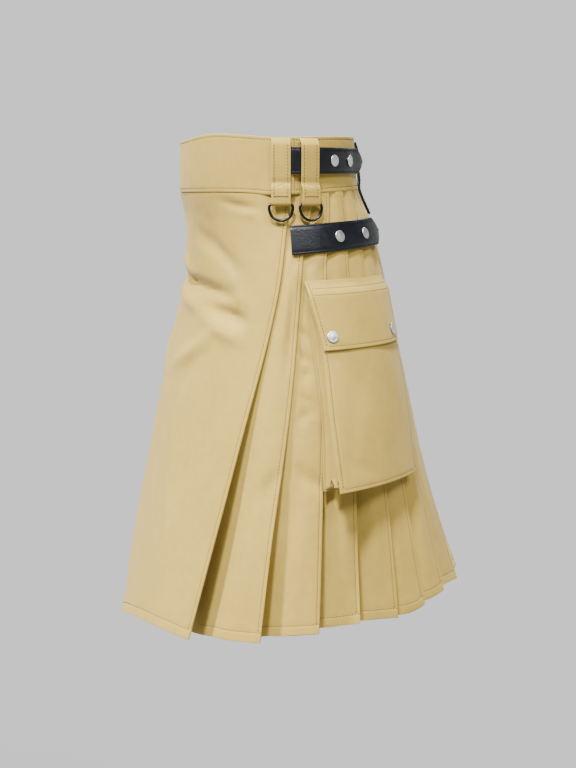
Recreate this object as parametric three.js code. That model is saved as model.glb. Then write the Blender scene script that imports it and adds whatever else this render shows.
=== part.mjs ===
// A man's wrap kilt in khaki cotton twill, as it hangs when worn, hollow and open at waist and hem:
// a wide waistband, an outer and an under apron, knife pleats that open towards the hem, leather
// straps with press studs, belt loops with D-rings, and a bellows pocket with a flap on each hip.
//
// Millimetres and degrees. The origin is the middle of the waist at half the waistband's height,
// +Z is up, the front faces -Y and the wearer's left is +X. A place on the garment is given by
//   drop  how far it is below the waistband's top edge,
//   turn  the angle round the waist, 0 at the centre front and 90 at the wearer's left,
//   out   how far it lies outside the garment's outer face (negative is inside).

import * as THREE from "three";

// Driving dimensions
const BAND_HEIGHT = 63;
const RIM_Z = BAND_HEIGHT / 2;
const LENGTH = 610;
const CLOTH = 1.0;
const BAND_WALL = 2.4;
const LEATHER = 2.6;
const SEAM_GAP = 0.3;
const LAYER_PITCH = 1.6; // between the middles of two pressed layers of cloth
const SKIRT_TOP = BAND_HEIGHT + SEAM_GAP + 0.2;
const LEFT = 1;
const RIGHT = -1;

// The worn form, one row for each level: half width, and depth of the front and of the back.
// A level line isn't quite flat: it rises by `tilt` for each millimetre towards the back.
const FORM = [
  { drop: 0, halfWidth: 150, front: 116, back: 106, tilt: -0.015 },
  { drop: 62, halfWidth: 152, front: 117, back: 112, tilt: 0.0 },
  { drop: 105, halfWidth: 159, front: 110, back: 130, tilt: 0.01 },
  { drop: 170, halfWidth: 177, front: 110, back: 147, tilt: 0.025 },
  { drop: 230, halfWidth: 190, front: 122, back: 159, tilt: 0.04 },
  { drop: 330, halfWidth: 208, front: 145, back: 180, tilt: 0.063 },
  { drop: 430, halfWidth: 223, front: 165, back: 202, tilt: 0.087 },
  { drop: 520, halfWidth: 234, front: 183, back: 228, tilt: 0.108 },
  { drop: 610, halfWidth: 242, front: 200, back: 257, tilt: 0.129 },
];

// Folded edges on the wearer's left, by the turn where each lies at five levels. Below `opens` a fold
// is loose, and at the hem the cloth under it lies `depth` deeper. `falls` is how much lower the hem of
// its panel hangs at the start, the middle and the folded edge. The wearer's right is its mirror.
const FOLD_LEVELS = { seam: 64, hip: 165, thigh: 350, low: 480, hem: 610 };
const FOLDS = [
  { name: "apron", seam: 84.5, hip: 75, thigh: 58.5, low: 49.5, hem: 42, opens: 215, depth: 36 },
  {
    name: "pleat_1", seam: 99, hip: 88, thigh: 78.5, low: 72.5, hem: 69, opens: 330, depth: 32,
    falls: [-3.8, -3.2, 0.4],
  },
  {
    name: "pleat_2", seam: 111, hip: 101.5, thigh: 95, low: 92, hem: 90, opens: 300, depth: 30,
    falls: [-2.6, -3.2, -0.9],
  },
  {
    name: "pleat_3", seam: 124, hip: 115, thigh: 108, low: 105, hem: 102.5, opens: 280, depth: 32,
    falls: [-4, -3.2, -3],
  },
  {
    name: "pleat_4", seam: 136.5, hip: 127.5, thigh: 121, low: 118.5, hem: 115.5, opens: 400, depth: 28,
    falls: [0, 1.8, 6],
  },
  {
    name: "pleat_5", seam: 148, hip: 139, thigh: 132.5, low: 129, hem: 127, opens: 330, depth: 24,
    falls: [5, 7.5, 2],
  },
  {
    name: "pleat_6", seam: 158.5, hip: 150.5, thigh: 144.5, low: 141.5, hem: 139, opens: 420, depth: 24,
    falls: [3, 1.5, -2.5],
  },
  {
    name: "pleat_7", seam: 169, hip: 163, thigh: 158, low: 155.5, hem: 154, opens: 340, depth: 28,
    falls: [0, -0.4, 0.6],
  },
  {
    name: "pleat_8", seam: 178.6, hip: 177, thigh: 174.5, low: 172.5, hem: 171, opens: 260, depth: 32,
    falls: [0, 1, 2.5],
  },
];
const PRESSED_DEPTH = 3.6; // of the cloth under a fold, where the fold is sewn down
const LAP_PRESSED = 14; // how far a fold covers the cloth beneath it, at the waist and at the hem
const LAP_OPEN = 28;
const SKIRT_ROWS = [SKIRT_TOP, 105, 155, 200, 245, 290, 335, 380, 425, 470, 515, 560, 590, LENGTH];

// Soft troughs pressed into the apron, from one place to another.
const CREASES = [
  { fromDrop: 72, fromTurn: 34, toDrop: 86, toTurn: 60, width: 10, depth: 2.5 },
  { fromDrop: 118, fromTurn: 14, toDrop: 172, toTurn: 42, width: 16, depth: 3.5 },
  { fromDrop: 172, fromTurn: -24, toDrop: 192, toTurn: 32, width: 13, depth: 6 },
  { fromDrop: 212, fromTurn: 14, toDrop: 238, toTurn: 60, width: 13, depth: 5 },
];

// Aprons
const APRON_TURN_BACK = 24; // width of the facing folded behind each side edge
const APRON_STEPS = 17;
const APRON_HEM_RISE = [
  { at: -42, value: 0 },
  { at: -30, value: -5 },
  { at: -18, value: -7 },
  { at: -10, value: 1 },
  { at: -2, value: 7.5 },
  { at: 6, value: 12 },
  { at: 18, value: 14 },
  { at: 30, value: 10.5 },
  { at: 42, value: 3 },
]; // how much the apron's hem is pulled up, by turn
const APRON_ROWS = [SKIRT_TOP, 82, 105, 130, 155, 175, 195, 215, 240, 275, 320, 380, 440, 500, 560, LENGTH];
const UNDER_APRON = { seamEdge: 64, hemEdge: 22, out: -7.5, steps: 12 };
const UNDER_APRON_ROWS = [SKIRT_TOP, 110, 160, 220, 300, 400, 510, LENGTH - 14];

// The waistband's edges aren't quite level: how far each lies below its nominal level, by turn. The
// lower edge is the same on both sides.
const BAND_TOP = [
  { at: -180, value: -4.3 },
  { at: -150, value: -4.3 },
  { at: -92, value: -1 },
  { at: -60, value: 0.6 },
  { at: -20, value: 2.4 },
  { at: 0, value: 2.6 },
  { at: 8, value: 1.4 },
  { at: 16, value: -0.4 },
  { at: 28, value: -3.4 },
  { at: 38, value: -4.4 },
  { at: 52, value: -2.8 },
  { at: 68, value: -0.6 },
  { at: 80, value: 0.2 },
  { at: 92, value: -1 },
  { at: 130, value: -3.5 },
  { at: 150, value: -4.3 },
  { at: 180, value: -4.3 },
];
const BAND_BOTTOM = [
  { at: 0, value: 5.2 },
  { at: 40, value: 4.5 },
  { at: 58, value: 5.4 },
  { at: 72, value: 7.6 },
  { at: 86, value: 6.8 },
  { at: 105, value: 5 },
  { at: 142, value: 1.5 },
  { at: 180, value: 1 },
];
const SHIFT_ENDS = 125; // below this level the skirt no longer follows the waistband's lower edge

// Waistband pieces, by the turn where each ends and the place of its middle
const APRON_BAND = { end: 86, out: -0.4, lapOut: 2.3, lapFrom: 64, lapTo: 76, steps: 30 };
const BACK_BAND = { start: 79, out: -0.4, steps: 40 };
const UNDER_BAND = { rightEnd: 78, leftEnd: 64, out: -4.6, steps: 22 };

// Leather straps: the level of the middle line at both ends, and where the press studs sit
const WAIST_STRAP = {
  start: 77, end: 152, startDrop: 28.5, endDrop: 27.5, width: 33, out: 5.1, farOut: 3.4,
  settleFrom: 100, settleTo: 125, studs: [114, 131], steps: 20,
};
const HIP_STRAP = {
  start: 82, end: 153, startDrop: 127, endDrop: 118.5, width: 36, out: 2.1, farOut: 6.5,
  settleFrom: 118, settleTo: 158, studs: [111, 131.5], steps: 20,
};
const STRAP_TIP = { length: 21, narrow: 0.8 }; // the pointed end
const BACK_LOOP = { turn: 163, width: 26, topDrop: 1.5, bottomDrop: 98, out: 2.6, stand: 2.4 };

// Press studs and D-rings
const STUD = { radius: 7.4, rim: 1.0, dome: 1.9, sides: 12 };
const RING = { halfWidth: 15.1, height: 21.5, wire: 1.8, barDrop: 81.5, barOut: 4.9, footOut: 3.4 };
const RING_PATH_STEPS = 15;
const RING_SIDES = 6;
const RING_CLEARANCE = 0.4;

// Belt loops that carry the D-rings
const LOOP = { width: 24, strip: 1.8, topDrop: 1.2, overStrapFrom: 8, overStrapTo: 50, tackDrop: 58 };
const LOOP_TURNS = { front: 78.4, rear: 95.6 };
const EYE_SIDES = 10;

// Bellows pockets: side edges by turn, and how far the front panel stands off the skirt. The back
// panel starts at `seam`, and the front panel, which has slipped back a little, at `front`.
const POCKET = { top: 197, bottom: 435, steps: 8, rows: 7 };
const POCKET_EDGES = [
  { drop: 176, seam: 88.1, front: 88.3, rear: 143.5 },
  { drop: 260, seam: 91.2, front: 93.8, rear: 141 },
  { drop: 345, seam: 93.4, front: 94.6, rear: 138.5 },
  { drop: 435, seam: 92.8, front: 95.7, rear: 133.3 },
];
const POCKET_BACK_OUT = 1.5;
const POCKET_STAND = { frontTop: 6, frontBottom: 30, rearTop: 6, rearBottom: 12, belly: 6 };
const GUSSET_TUCK = 6; // how far the bellows fold in between the panels
const FLAP = { top: 177, bottom: 262, wall: 1.5, inset: 1.2, steps: 8, rows: 5, sag: 3 };
const FLAP_STUDS = { drop: 246, shares: [0.1, 0.85] };

const material = (name, color, roughness, metalness = 0) =>
  new THREE.MeshStandardMaterial({ name, color, roughness, metalness });
const TWILL = material("khaki twill", 0xcdb98a, 0.85);
const STRAP_LEATHER = material("black leather", 0x15171b, 0.4);
const STUD_METAL = material("nickel", 0xc9cbcd, 0.3, 1);
const RING_METAL = material("black nickel", 0x2a2b2d, 0.3, 1);

const radians = THREE.MathUtils.degToRad;
const lerp = THREE.MathUtils.lerp;
const smooth = (value, from, to) => THREE.MathUtils.smoothstep(value, from, to);
const range = (count) => Array.from({ length: count }, (_, i) => i);

// A smooth curve through (at, value) pairs, read at x. Its slope at a pair is that of its neighbours.
function through(pairs, x) {
  let i = 0;
  while (i < pairs.length - 2 && x > pairs[i + 1].at) i++;
  const slope = (k) => {
    const before = pairs[Math.max(0, k - 1)];
    const after = pairs[Math.min(pairs.length - 1, k + 1)];
    return (after.value - before.value) / (after.at - before.at);
  };
  const a = pairs[i];
  const b = pairs[i + 1];
  const span = b.at - a.at;
  const t = THREE.MathUtils.clamp((x - a.at) / span, 0, 1);
  return (
    (2 * t ** 3 - 3 * t ** 2 + 1) * a.value +
    (t ** 3 - 2 * t ** 2 + t) * span * slope(i) +
    (-2 * t ** 3 + 3 * t ** 2) * b.value +
    (t ** 3 - t ** 2) * span * slope(i + 1)
  );
}

function formAt(drop) {
  const read = (column) => through(FORM.map((row) => ({ at: row.drop, value: row[column] })), drop);
  return { halfWidth: read("halfWidth"), front: read("front"), back: read("back"), tilt: read("tilt") };
}

// The point at (drop, turn, out), and the outward direction there.
function place(drop, turn, out = 0) {
  const form = formAt(drop);
  const angle = radians(turn);
  const depth = Math.cos(angle) > 0 ? form.front : form.back;
  const x = form.halfWidth * Math.sin(angle);
  const y = -depth * Math.cos(angle);
  const outward = outwardAt(drop, turn);
  return new THREE.Vector3(x, y, RIM_Z - drop + form.tilt * y).addScaledVector(outward, out);
}

function outwardAt(drop, turn) {
  const form = formAt(drop);
  const angle = radians(turn);
  const depth = Math.cos(angle) > 0 ? form.front : form.back;
  return new THREE.Vector3(Math.sin(angle) / form.halfWidth, -Math.cos(angle) / depth, 0).normalize();
}

// Degrees of turn that a length along the girth takes at a place.
function turnFor(length, drop, turn) {
  const form = formAt(drop);
  const angle = radians(turn);
  const depth = Math.cos(angle) > 0 ? form.front : form.back;
  const perRadian = Math.hypot(form.halfWidth * Math.cos(angle), depth * Math.sin(angle));
  return THREE.MathUtils.radToDeg(length / perRadian);
}

// A closed wall between two grids of points that have the same rows and columns.
function wallBetween(outer, inner) {
  const rows = outer.length;
  const columns = outer[0].length;
  const positions = [];
  for (const grid of [outer, inner]) {
    for (const row of grid) for (const p of row) positions.push(p.x, p.y, p.z);
  }
  const at = (side, row, column) => side * rows * columns + row * columns + column;
  const index = [];
  const quad = (a, b, c, d) => index.push(a, b, c, a, c, d);
  for (let r = 0; r < rows - 1; r++) {
    for (let c = 0; c < columns - 1; c++) {
      quad(at(0, r, c), at(0, r + 1, c), at(0, r + 1, c + 1), at(0, r, c + 1));
      quad(at(1, r, c), at(1, r, c + 1), at(1, r + 1, c + 1), at(1, r + 1, c));
    }
    quad(at(0, r, 0), at(1, r, 0), at(1, r + 1, 0), at(0, r + 1, 0));
    quad(at(0, r, columns - 1), at(0, r + 1, columns - 1), at(1, r + 1, columns - 1), at(1, r, columns - 1));
  }
  for (let c = 0; c < columns - 1; c++) {
    quad(at(0, 0, c), at(0, 0, c + 1), at(1, 0, c + 1), at(1, 0, c));
    quad(at(0, rows - 1, c), at(1, rows - 1, c), at(1, rows - 1, c + 1), at(0, rows - 1, c + 1));
  }
  return faceOut(positions, index);
}

// The geometry, with its faces turned to point out of the solid.
function faceOut(positions, index) {
  const corner = (i) => new THREE.Vector3().fromArray(positions, 3 * index[i]);
  let volume = 0;
  for (let i = 0; i < index.length; i += 3) {
    volume += corner(i).dot(corner(i + 1).cross(corner(i + 2)));
  }
  if (volume < 0) index.reverse();
  const geometry = new THREE.BufferGeometry();
  geometry.setAttribute("position", new THREE.Float32BufferAttribute(positions, 3));
  geometry.setIndex(index);
  return geometry;
}

// Offsets a line of points in plan to both sides by half the wall, with mitred corners.
function thicken(line, wall) {
  const MOST_MITRE = 1.5;
  const sideOf = (a, b) => new THREE.Vector3(b.y - a.y, a.x - b.x, 0).normalize();
  const offset = (distance) =>
    line.map((point, i) => {
      const before = sideOf(line[Math.max(0, i - 1)], line[Math.max(1, i)]);
      const after = sideOf(line[Math.min(line.length - 2, i)], line[Math.min(line.length - 1, i + 1)]);
      const mitre = before.clone().add(after).normalize();
      const stretch = Math.min(MOST_MITRE, 1 / Math.max(0.1, mitre.dot(after)));
      return point.clone().addScaledVector(mitre, distance * stretch);
    });
  return [offset(wall / 2), offset(-wall / 2)];
}

const wallAlong = (lines, wall) => {
  const pairs = lines.map((line) => thicken(line, wall));
  return wallBetween(pairs.map((pair) => pair[0]), pairs.map((pair) => pair[1]));
};

// A wall that lies on the form: `outAt` gives the place of its middle, and `levelAt` its true level.
function wallOnForm(drops, turnsAt, outAt, wall, levelAt = (drop) => drop) {
  const grid = (shift) =>
    drops.map((drop) =>
      turnsAt(drop).map((turn) => place(levelAt(drop, turn), turn, outAt(drop, turn) + shift)),
    );
  return wallBetween(grid(wall / 2), grid(-wall / 2));
}

const steps = (from, to, count) => range(count + 1).map((i) => lerp(from, to, i / count));

// Folds

function foldTurn(fold, drop) {
  const pairs = Object.entries(FOLD_LEVELS).map(([level, at]) => ({ at, value: fold[level] }));
  return through(pairs, Math.max(drop, FOLD_LEVELS.seam));
}

// Where a fold and the hidden bend beneath it lie at one level.
function foldState(fold, drop) {
  const open = smooth(drop, fold.opens, LENGTH * 1.1);
  const turn = foldTurn(fold, drop);
  const lap = turnFor(lerp(LAP_PRESSED, LAP_OPEN, open), drop, turn);
  const sink = lerp(PRESSED_DEPTH, fold.depth, open);
  return { open, turn, hidden: turn - lap, sink, falls: fold.falls };
}

// One visible panel, from the hidden bend under the fold before it to its own folded edge.
function panelPoints(before, own, middles) {
  const width = own.turn - before.hidden;
  const seen = own.turn - before.turn;
  const straight = (turn) => -before.sink * (1 - (turn - before.hidden) / width);
  const underOut = lerp(-before.sink, straight(before.turn), before.open);
  const lapOut = lerp(0, straight(own.hidden), own.open);
  const lapTurn = Math.max(own.hidden, before.turn + 0.2 * (own.turn - before.turn));
  const between = range(middles).map((i) => {
    const share = (i + 1) / (middles + 1);
    return { turn: lerp(before.turn, lapTurn, share), out: lerp(underOut, lapOut, share) };
  });
  const panel = [
    { turn: before.hidden, out: -before.sink },
    { turn: before.turn, out: underOut },
    ...between,
    { turn: lapTurn, out: lapOut },
    { turn: own.turn, out: 0 },
  ];
  return panel.map((p) => ({ ...p, fall: own.open * fallAt(own, (p.turn - before.turn) / seen) }));
}

function fallAt(fold, share) {
  const s = THREE.MathUtils.clamp(share, 0, 1);
  const [start, middle, end] = fold.falls;
  return start * (1 - s) * (1 - 2 * s) + 4 * middle * s * (1 - s) + end * s * (2 * s - 1);
}

// The line of the pleated cloth at one level, from under the apron's edge to the centre back.
function pleatLine(drop, side) {
  const states = FOLDS.map((fold) => foldState(fold, drop));
  const points = [];
  states.slice(1).forEach((own, i) => {
    points.push(...panelPoints(states[i], own, i === 0 ? 2 : 1));
    const next = states[i + 2];
    points.push({ turn: own.turn, out: -LAYER_PITCH, fall: own.open * fallAt(own, 1) });
    const fall = next ? next.open * fallAt(next, 0) : 0;
    points.push({ turn: own.hidden, out: LAYER_PITCH - own.sink, fall });
  });
  const last = states[states.length - 1];
  const backEnd = 180 - turnFor(SEAM_GAP / 2, drop, 180);
  for (const turn of [last.hidden, lerp(last.hidden, backEnd, 0.6), backEnd]) {
    points.push({ turn, out: -last.sink, fall: 0 });
  }
  return points.map((p) => {
    const level = underBandEdge(drop, p.turn) + p.fall;
    return place(level, side * p.turn, p.out - CLOTH / 2);
  });
}

const pleats = (side) => wallAlong(SKIRT_ROWS.map((drop) => pleatLine(drop, side)), CLOTH);

// Aprons

// How far the creases press the apron in at a place.
function creaseAt(drop, turn) {
  const perDegree = 1 / turnFor(1, drop, turn);
  const edge = foldTurn(FOLDS[0], drop);
  const inner = edge - turnFor(APRON_TURN_BACK, drop, edge);
  return CREASES.reduce((sum, c) => {
    const along = new THREE.Vector2((c.toTurn - c.fromTurn) * perDegree, c.toDrop - c.fromDrop);
    const here = new THREE.Vector2((turn - c.fromTurn) * perDegree, drop - c.fromDrop);
    const share = THREE.MathUtils.clamp(here.dot(along) / along.lengthSq(), 0, 1);
    const away = here.distanceTo(along.multiplyScalar(share));
    const fade = Math.sin(Math.PI * lerp(0.12, 0.88, share)) * (1 - smooth(turn, inner - 14, inner));
    return sum + c.depth * fade * Math.exp(-((away / c.width) ** 2));
  }, 0);
}

// The skirt's level at a place, which follows the waistband's lower edge near the top.
const underBandEdge = (drop, turn) =>
  drop + through(BAND_BOTTOM, Math.abs(turn)) * (1 - smooth(drop, SKIRT_TOP, SHIFT_ENDS));

const apronRise = (drop, turn) => through(APRON_HEM_RISE, turn) * smooth(drop, 200, LENGTH);

function apronLine(drop) {
  const edge = foldTurn(FOLDS[0], drop);
  const back = edge - turnFor(APRON_TURN_BACK, drop, edge);
  const lap = steps(back, edge, 3);
  const facing = lap.map((turn) => ({ turn, out: -LAYER_PITCH }));
  const middle = steps(-back, back, APRON_STEPS).slice(1, -1).map((turn) => ({ turn, out: 0 }));
  const face = lap.map((turn) => ({ turn, out: 0 }));
  const toRight = (points) => points.map((p) => ({ ...p, turn: -p.turn }));
  const points = [
    ...toRight(facing),
    ...toRight(face).reverse(),
    ...middle,
    ...face,
    ...facing.toReversed(),
  ];
  return points.map((p) =>
    place(
      underBandEdge(drop, p.turn) - apronRise(drop, p.turn),
      p.turn,
      p.out - CLOTH / 2 - creaseAt(drop, p.turn),
    ),
  );
}

const apron = () => wallAlong(APRON_ROWS.map(apronLine), CLOTH);

// The under apron goes on from the first hidden bend on the wearer's right and ends free on the left.
function underApron() {
  const rightEnd = (drop) => {
    const bend = foldState(FOLDS[0], drop);
    return -(bend.hidden - turnFor(SEAM_GAP + 2 * CLOTH, drop, bend.hidden));
  };
  const leftEnd = (drop) => lerp(UNDER_APRON.seamEdge, UNDER_APRON.hemEdge, drop / LENGTH);
  const turnsAt = (drop) => steps(rightEnd(drop), leftEnd(drop), UNDER_APRON.steps);
  const outAt = (drop, turn) => {
    const share = smooth(turn, rightEnd(drop), rightEnd(drop) + 24);
    const bend = -foldState(FOLDS[0], drop).sink - CLOTH / 2;
    return lerp(bend, UNDER_APRON.out - creaseAt(drop, turn), share);
  };
  const levelAt = (drop, turn) => drop - Math.max(0, apronRise(drop, turn));
  return wallOnForm(UNDER_APRON_ROWS, turnsAt, outAt, CLOTH, levelAt);
}

// Waistband

const BAND_ROWS = steps(0, BAND_HEIGHT, 4);

const signedTurn = (turn) => ((turn + 180) % 360) - 180;

const bandLevel = (drop, turn) =>
  underBandLevel(drop, turn) + through(BAND_BOTTOM, Math.abs(signedTurn(turn))) * (drop / BAND_HEIGHT);

const underBandLevel = (drop, turn) =>
  drop + through(BAND_TOP, signedTurn(turn)) * (1 - drop / BAND_HEIGHT);

function apronBandOut(turn) {
  const share = smooth(Math.abs(turn), APRON_BAND.lapFrom, APRON_BAND.lapTo);
  return lerp(APRON_BAND.out, APRON_BAND.lapOut, share);
}

const apronBand = () =>
  wallOnForm(
    BAND_ROWS,
    () => steps(-APRON_BAND.end, APRON_BAND.end, APRON_BAND.steps),
    (_, turn) => apronBandOut(turn),
    BAND_WALL,
    bandLevel,
  );

const backBand = () =>
  wallOnForm(
    BAND_ROWS,
    () => steps(BACK_BAND.start, 360 - BACK_BAND.start, BACK_BAND.steps),
    () => BACK_BAND.out,
    BAND_WALL,
    bandLevel,
  );

const underBand = () =>
  wallOnForm(
    BAND_ROWS,
    () => steps(-UNDER_BAND.rightEnd, UNDER_BAND.leftEnd, UNDER_BAND.steps),
    () => UNDER_BAND.out,
    BAND_WALL,
    underBandLevel,
  );

// Straps and studs

const strapOut = (strap, turn) =>
  lerp(strap.out, strap.farOut, smooth(turn, strap.settleFrom, strap.settleTo));

const strapDrop = (strap, turn) =>
  lerp(strap.startDrop, strap.endDrop, (turn - strap.start) / (strap.end - strap.start));

function strapSolid(strap, side) {
  const tip = turnFor(STRAP_TIP.length, strap.endDrop, strap.end);
  const turns = [...steps(strap.start, strap.end - tip, strap.steps), strap.end - tip / 2, strap.end];
  const halfWidthAt = (turn) => {
    const intoTip = THREE.MathUtils.clamp((turn - (strap.end - tip)) / tip, 0, 1);
    return (strap.width / 2) * (1 - STRAP_TIP.narrow * intoTip ** 1.15);
  };
  const ACROSS = [-1, 0, 1];
  const grid = (shift) =>
    turns.map((turn) =>
      ACROSS.map((v) => {
        const drop = strapDrop(strap, turn) + v * halfWidthAt(turn);
        return place(drop, side * turn, strapOut(strap, turn) + shift);
      }),
    );
  return wallBetween(grid(LEATHER / 2), grid(-LEATHER / 2));
}

// A domed cap with its flat side on the point, facing along the direction.
function stud(point, direction) {
  const profile = [
    [0, 0],
    [STUD.radius * 0.94, 0],
    [STUD.radius, STUD.rim * 0.5],
    [STUD.radius * 0.92, STUD.rim],
    [STUD.radius * 0.55, STUD.dome * 0.88],
    [0, STUD.dome],
  ].map(([radius, height]) => new THREE.Vector2(radius, height));
  const geometry = new THREE.LatheGeometry(profile, STUD.sides);
  const turned = new THREE.Quaternion().setFromUnitVectors(new THREE.Vector3(0, 1, 0), direction);
  geometry.applyQuaternion(turned).translate(point.x, point.y, point.z);
  return geometry;
}

function strapStud(strap, side, turn) {
  const drop = strapDrop(strap, turn);
  const point = place(drop, side * turn, strapOut(strap, turn) + LEATHER / 2 + SEAM_GAP);
  return stud(point, facingAt((d, t) => place(d, side * t, strapOut(strap, t)), drop, turn, side));
}

// The outward direction of a surface given by `at(drop, turn)`.
function facingAt(at, drop, turn, side) {
  const down = at(drop + 4, turn).sub(at(drop - 4, turn));
  const along = at(drop, turn + 2).sub(at(drop, turn - 2));
  return down.cross(along).multiplyScalar(side).normalize();
}

// The leather loop behind each hip stands off the band so that a belt can pass.
function backLoop(side) {
  const half = turnFor(BACK_LOOP.width / 2, BAND_HEIGHT, BACK_LOOP.turn);
  const drops = [BACK_LOOP.topDrop, 8, 14, 32, 50, 57, 64, 80, BACK_LOOP.bottomDrop];
  const outAt = (drop) => {
    const raised = smooth(drop, 2, 14) * (1 - smooth(drop, 50, 64));
    return BACK_LOOP.out + BACK_LOOP.stand * raised;
  };
  return wallOnForm(
    drops,
    () => steps(side * (BACK_LOOP.turn - half), side * (BACK_LOOP.turn + half), 3),
    outAt,
    LEATHER - 0.2,
  );
}

// D-rings and their loops

// The upright frame of a loop: where it lies on the waistband, its outward and sideways directions.
function loopFrame(turn) {
  const out = outwardAt(BAND_HEIGHT / 2, turn);
  const origin = place(BAND_HEIGHT / 2, turn);
  const side = new THREE.Vector3(-out.y, out.x, 0);
  const outOf = (point) => point.clone().sub(origin).dot(out);
  return { origin, out, side, outOf };
}

function ringFrame(turn) {
  const { origin, side } = loopFrame(turn);
  const bar = place(RING.barDrop, turn, RING.barOut);
  bar.addScaledVector(side, origin.clone().sub(bar).dot(side));
  const foot = place(RING.barDrop + RING.height, turn, RING.footOut);
  const down = foot.sub(bar).addScaledVector(side, -foot.dot(side)).normalize();
  return { bar, side, down };
}

// The ring is a straight bar closed by half an ellipse, drawn by a round wire.
function ring(turn) {
  const { bar, side, down } = ringFrame(turn);
  const straight = LOOP.width / 2 + 1.4;
  const bow = range(RING_PATH_STEPS + 1).map((i) => {
    const angle = Math.PI * (i / RING_PATH_STEPS);
    return [RING.halfWidth * Math.cos(angle), 2.2 + (RING.height - 2.2) * Math.sin(angle) ** 0.8];
  });
  const path = [[-straight, 0], [0, 0], [straight, 0], ...bow].map(([across, fall]) =>
    bar.clone().addScaledVector(side, across).addScaledVector(down, fall),
  );
  return closedTube(path, RING.wire, RING_SIDES, side.clone().cross(down));
}

// A round wire round a flat closed path, whose plane has the given normal.
function closedTube(path, radius, sides, normal) {
  const count = path.length;
  const positions = [];
  path.forEach((point, i) => {
    const before = point.clone().sub(path[(i + count - 1) % count]).normalize();
    const after = path[(i + 1) % count].clone().sub(point).normalize();
    const across = before.clone().add(after).normalize().cross(normal).normalize();
    const stretch = 1 / Math.max(0.7, across.clone().cross(normal).dot(after) ** 2) ** 0.5;
    for (let s = 0; s < sides; s++) {
      const angle = (2 * Math.PI * (s + 0.5)) / sides;
      const p = point
        .clone()
        .addScaledVector(across, radius * stretch * Math.cos(angle))
        .addScaledVector(normal, radius * Math.sin(angle));
      positions.push(p.x, p.y, p.z);
    }
  });
  const index = [];
  for (let i = 0; i < count; i++) {
    const next = (i + 1) % count;
    for (let s = 0; s < sides; s++) {
      const t = (s + 1) % sides;
      index.push(i * sides + s, next * sides + s, next * sides + t);
      index.push(i * sides + s, next * sides + t, i * sides + t);
    }
  }
  return faceOut(positions, index);
}

// The side view of a loop: a strip sewn at the rim, over the strap, round the ring's bar and back up.
function beltLoop(turn, bandOut) {
  const frame = loopFrame(turn);
  const { bar } = ringFrame(turn);
  const barOut = frame.outOf(bar);
  const eye = RING.wire + RING_CLEARANCE;
  const outside = eye + LOOP.strip;
  const onBand = (drop) => frame.outOf(place(drop, turn, bandOut + BAND_WALL / 2)) + SEAM_GAP;
  const overStrap =
    frame.outOf(place(BAND_HEIGHT / 2, turn, WAIST_STRAP.out + LEATHER / 2)) + SEAM_GAP + 0.4;
  const clearOfSkirt = frame.outOf(place(RING.barDrop, turn, 0)) + RING_CLEARANCE;
  const bandEnd = BAND_HEIGHT + through(BAND_BOTTOM, Math.abs(turn)) + 0.8;
  const at = (out, drop) => new THREE.Vector2(out, -drop);
  const arc = steps(0, 180, 8).map((angle) =>
    at(
      Math.max(barOut + outside * Math.cos(radians(angle)), clearOfSkirt),
      RING.barDrop + outside * Math.sin(radians(angle)),
    ),
  );
  const shape = new THREE.Shape([
    at(onBand(LOOP.topDrop), LOOP.topDrop),
    at(onBand(LOOP.topDrop) + LOOP.strip, LOOP.topDrop),
    at(overStrap + LOOP.strip, LOOP.overStrapFrom),
    at(overStrap + LOOP.strip, LOOP.overStrapTo),
    at(Math.max(barOut + outside, overStrap + LOOP.strip - 1.2), LOOP.tackDrop + 6),
    ...arc,
    at(onBand(bandEnd), bandEnd),
    at(onBand(BAND_HEIGHT), LOOP.tackDrop),
    at(overStrap, LOOP.overStrapTo),
    at(overStrap, LOOP.overStrapFrom + 1.5),
    at(onBand(LOOP.topDrop + 3), LOOP.topDrop + 3),
  ]);
  const eyePoints = range(EYE_SIDES).map((i) => {
    const angle = (2 * Math.PI * i) / EYE_SIDES;
    const reach = eye / Math.cos(Math.PI / EYE_SIDES);
    return at(barOut + reach * Math.cos(angle), RING.barDrop - reach * Math.sin(angle));
  });
  shape.holes.push(new THREE.Path(eyePoints));
  const geometry = new THREE.ExtrudeGeometry(shape, { depth: LOOP.width, bevelEnabled: false });
  geometry.translate(0, 0, -LOOP.width / 2);
  const up = new THREE.Vector3(0, 0, 1);
  const axes = new THREE.Matrix4().makeBasis(frame.out, up, frame.out.clone().cross(up));
  const rimZ = RIM_Z + (frame.origin.z - (RIM_Z - BAND_HEIGHT / 2));
  axes.setPosition(frame.origin.x, frame.origin.y, rimZ);
  return geometry.applyMatrix4(axes);
}

// Pockets

const pocketEdge = (column, drop) =>
  through(POCKET_EDGES.map((row) => ({ at: row.drop, value: row[column] })), drop);

// The turn at a share of the way from the pocket's front edge to its rear edge. `depth` is 0 on the
// back panel and 1 on the front panel.
const pocketTurn = (drop, share, depth = 1) =>
  lerp(lerp(pocketEdge("seam", drop), pocketEdge("front", drop), depth), pocketEdge("rear", drop), share);

// How far the pocket's front panel stands off the skirt.
function pocketStand(drop, share) {
  const down = THREE.MathUtils.clamp((drop - FLAP.top) / (POCKET.bottom - FLAP.top), 0, 1);
  const front = lerp(POCKET_STAND.frontTop, POCKET_STAND.frontBottom, down);
  const rear = lerp(POCKET_STAND.rearTop, POCKET_STAND.rearBottom, down);
  const belly = POCKET_STAND.belly * Math.sin(Math.PI * down) * Math.sin(Math.PI * share);
  return lerp(front, rear, share) + belly;
}

function pocketPanel(side, depth, outAt) {
  const drops = steps(POCKET.top, POCKET.bottom, POCKET.rows);
  const shares = steps(0, 1, POCKET.steps);
  const grid = (shift) =>
    drops.map((drop) =>
      shares.map((share) =>
        place(drop, side * pocketTurn(drop, share, depth), outAt(drop, share) + shift),
      ),
    );
  return wallBetween(grid(CLOTH / 2), grid(-CLOTH / 2));
}

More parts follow.
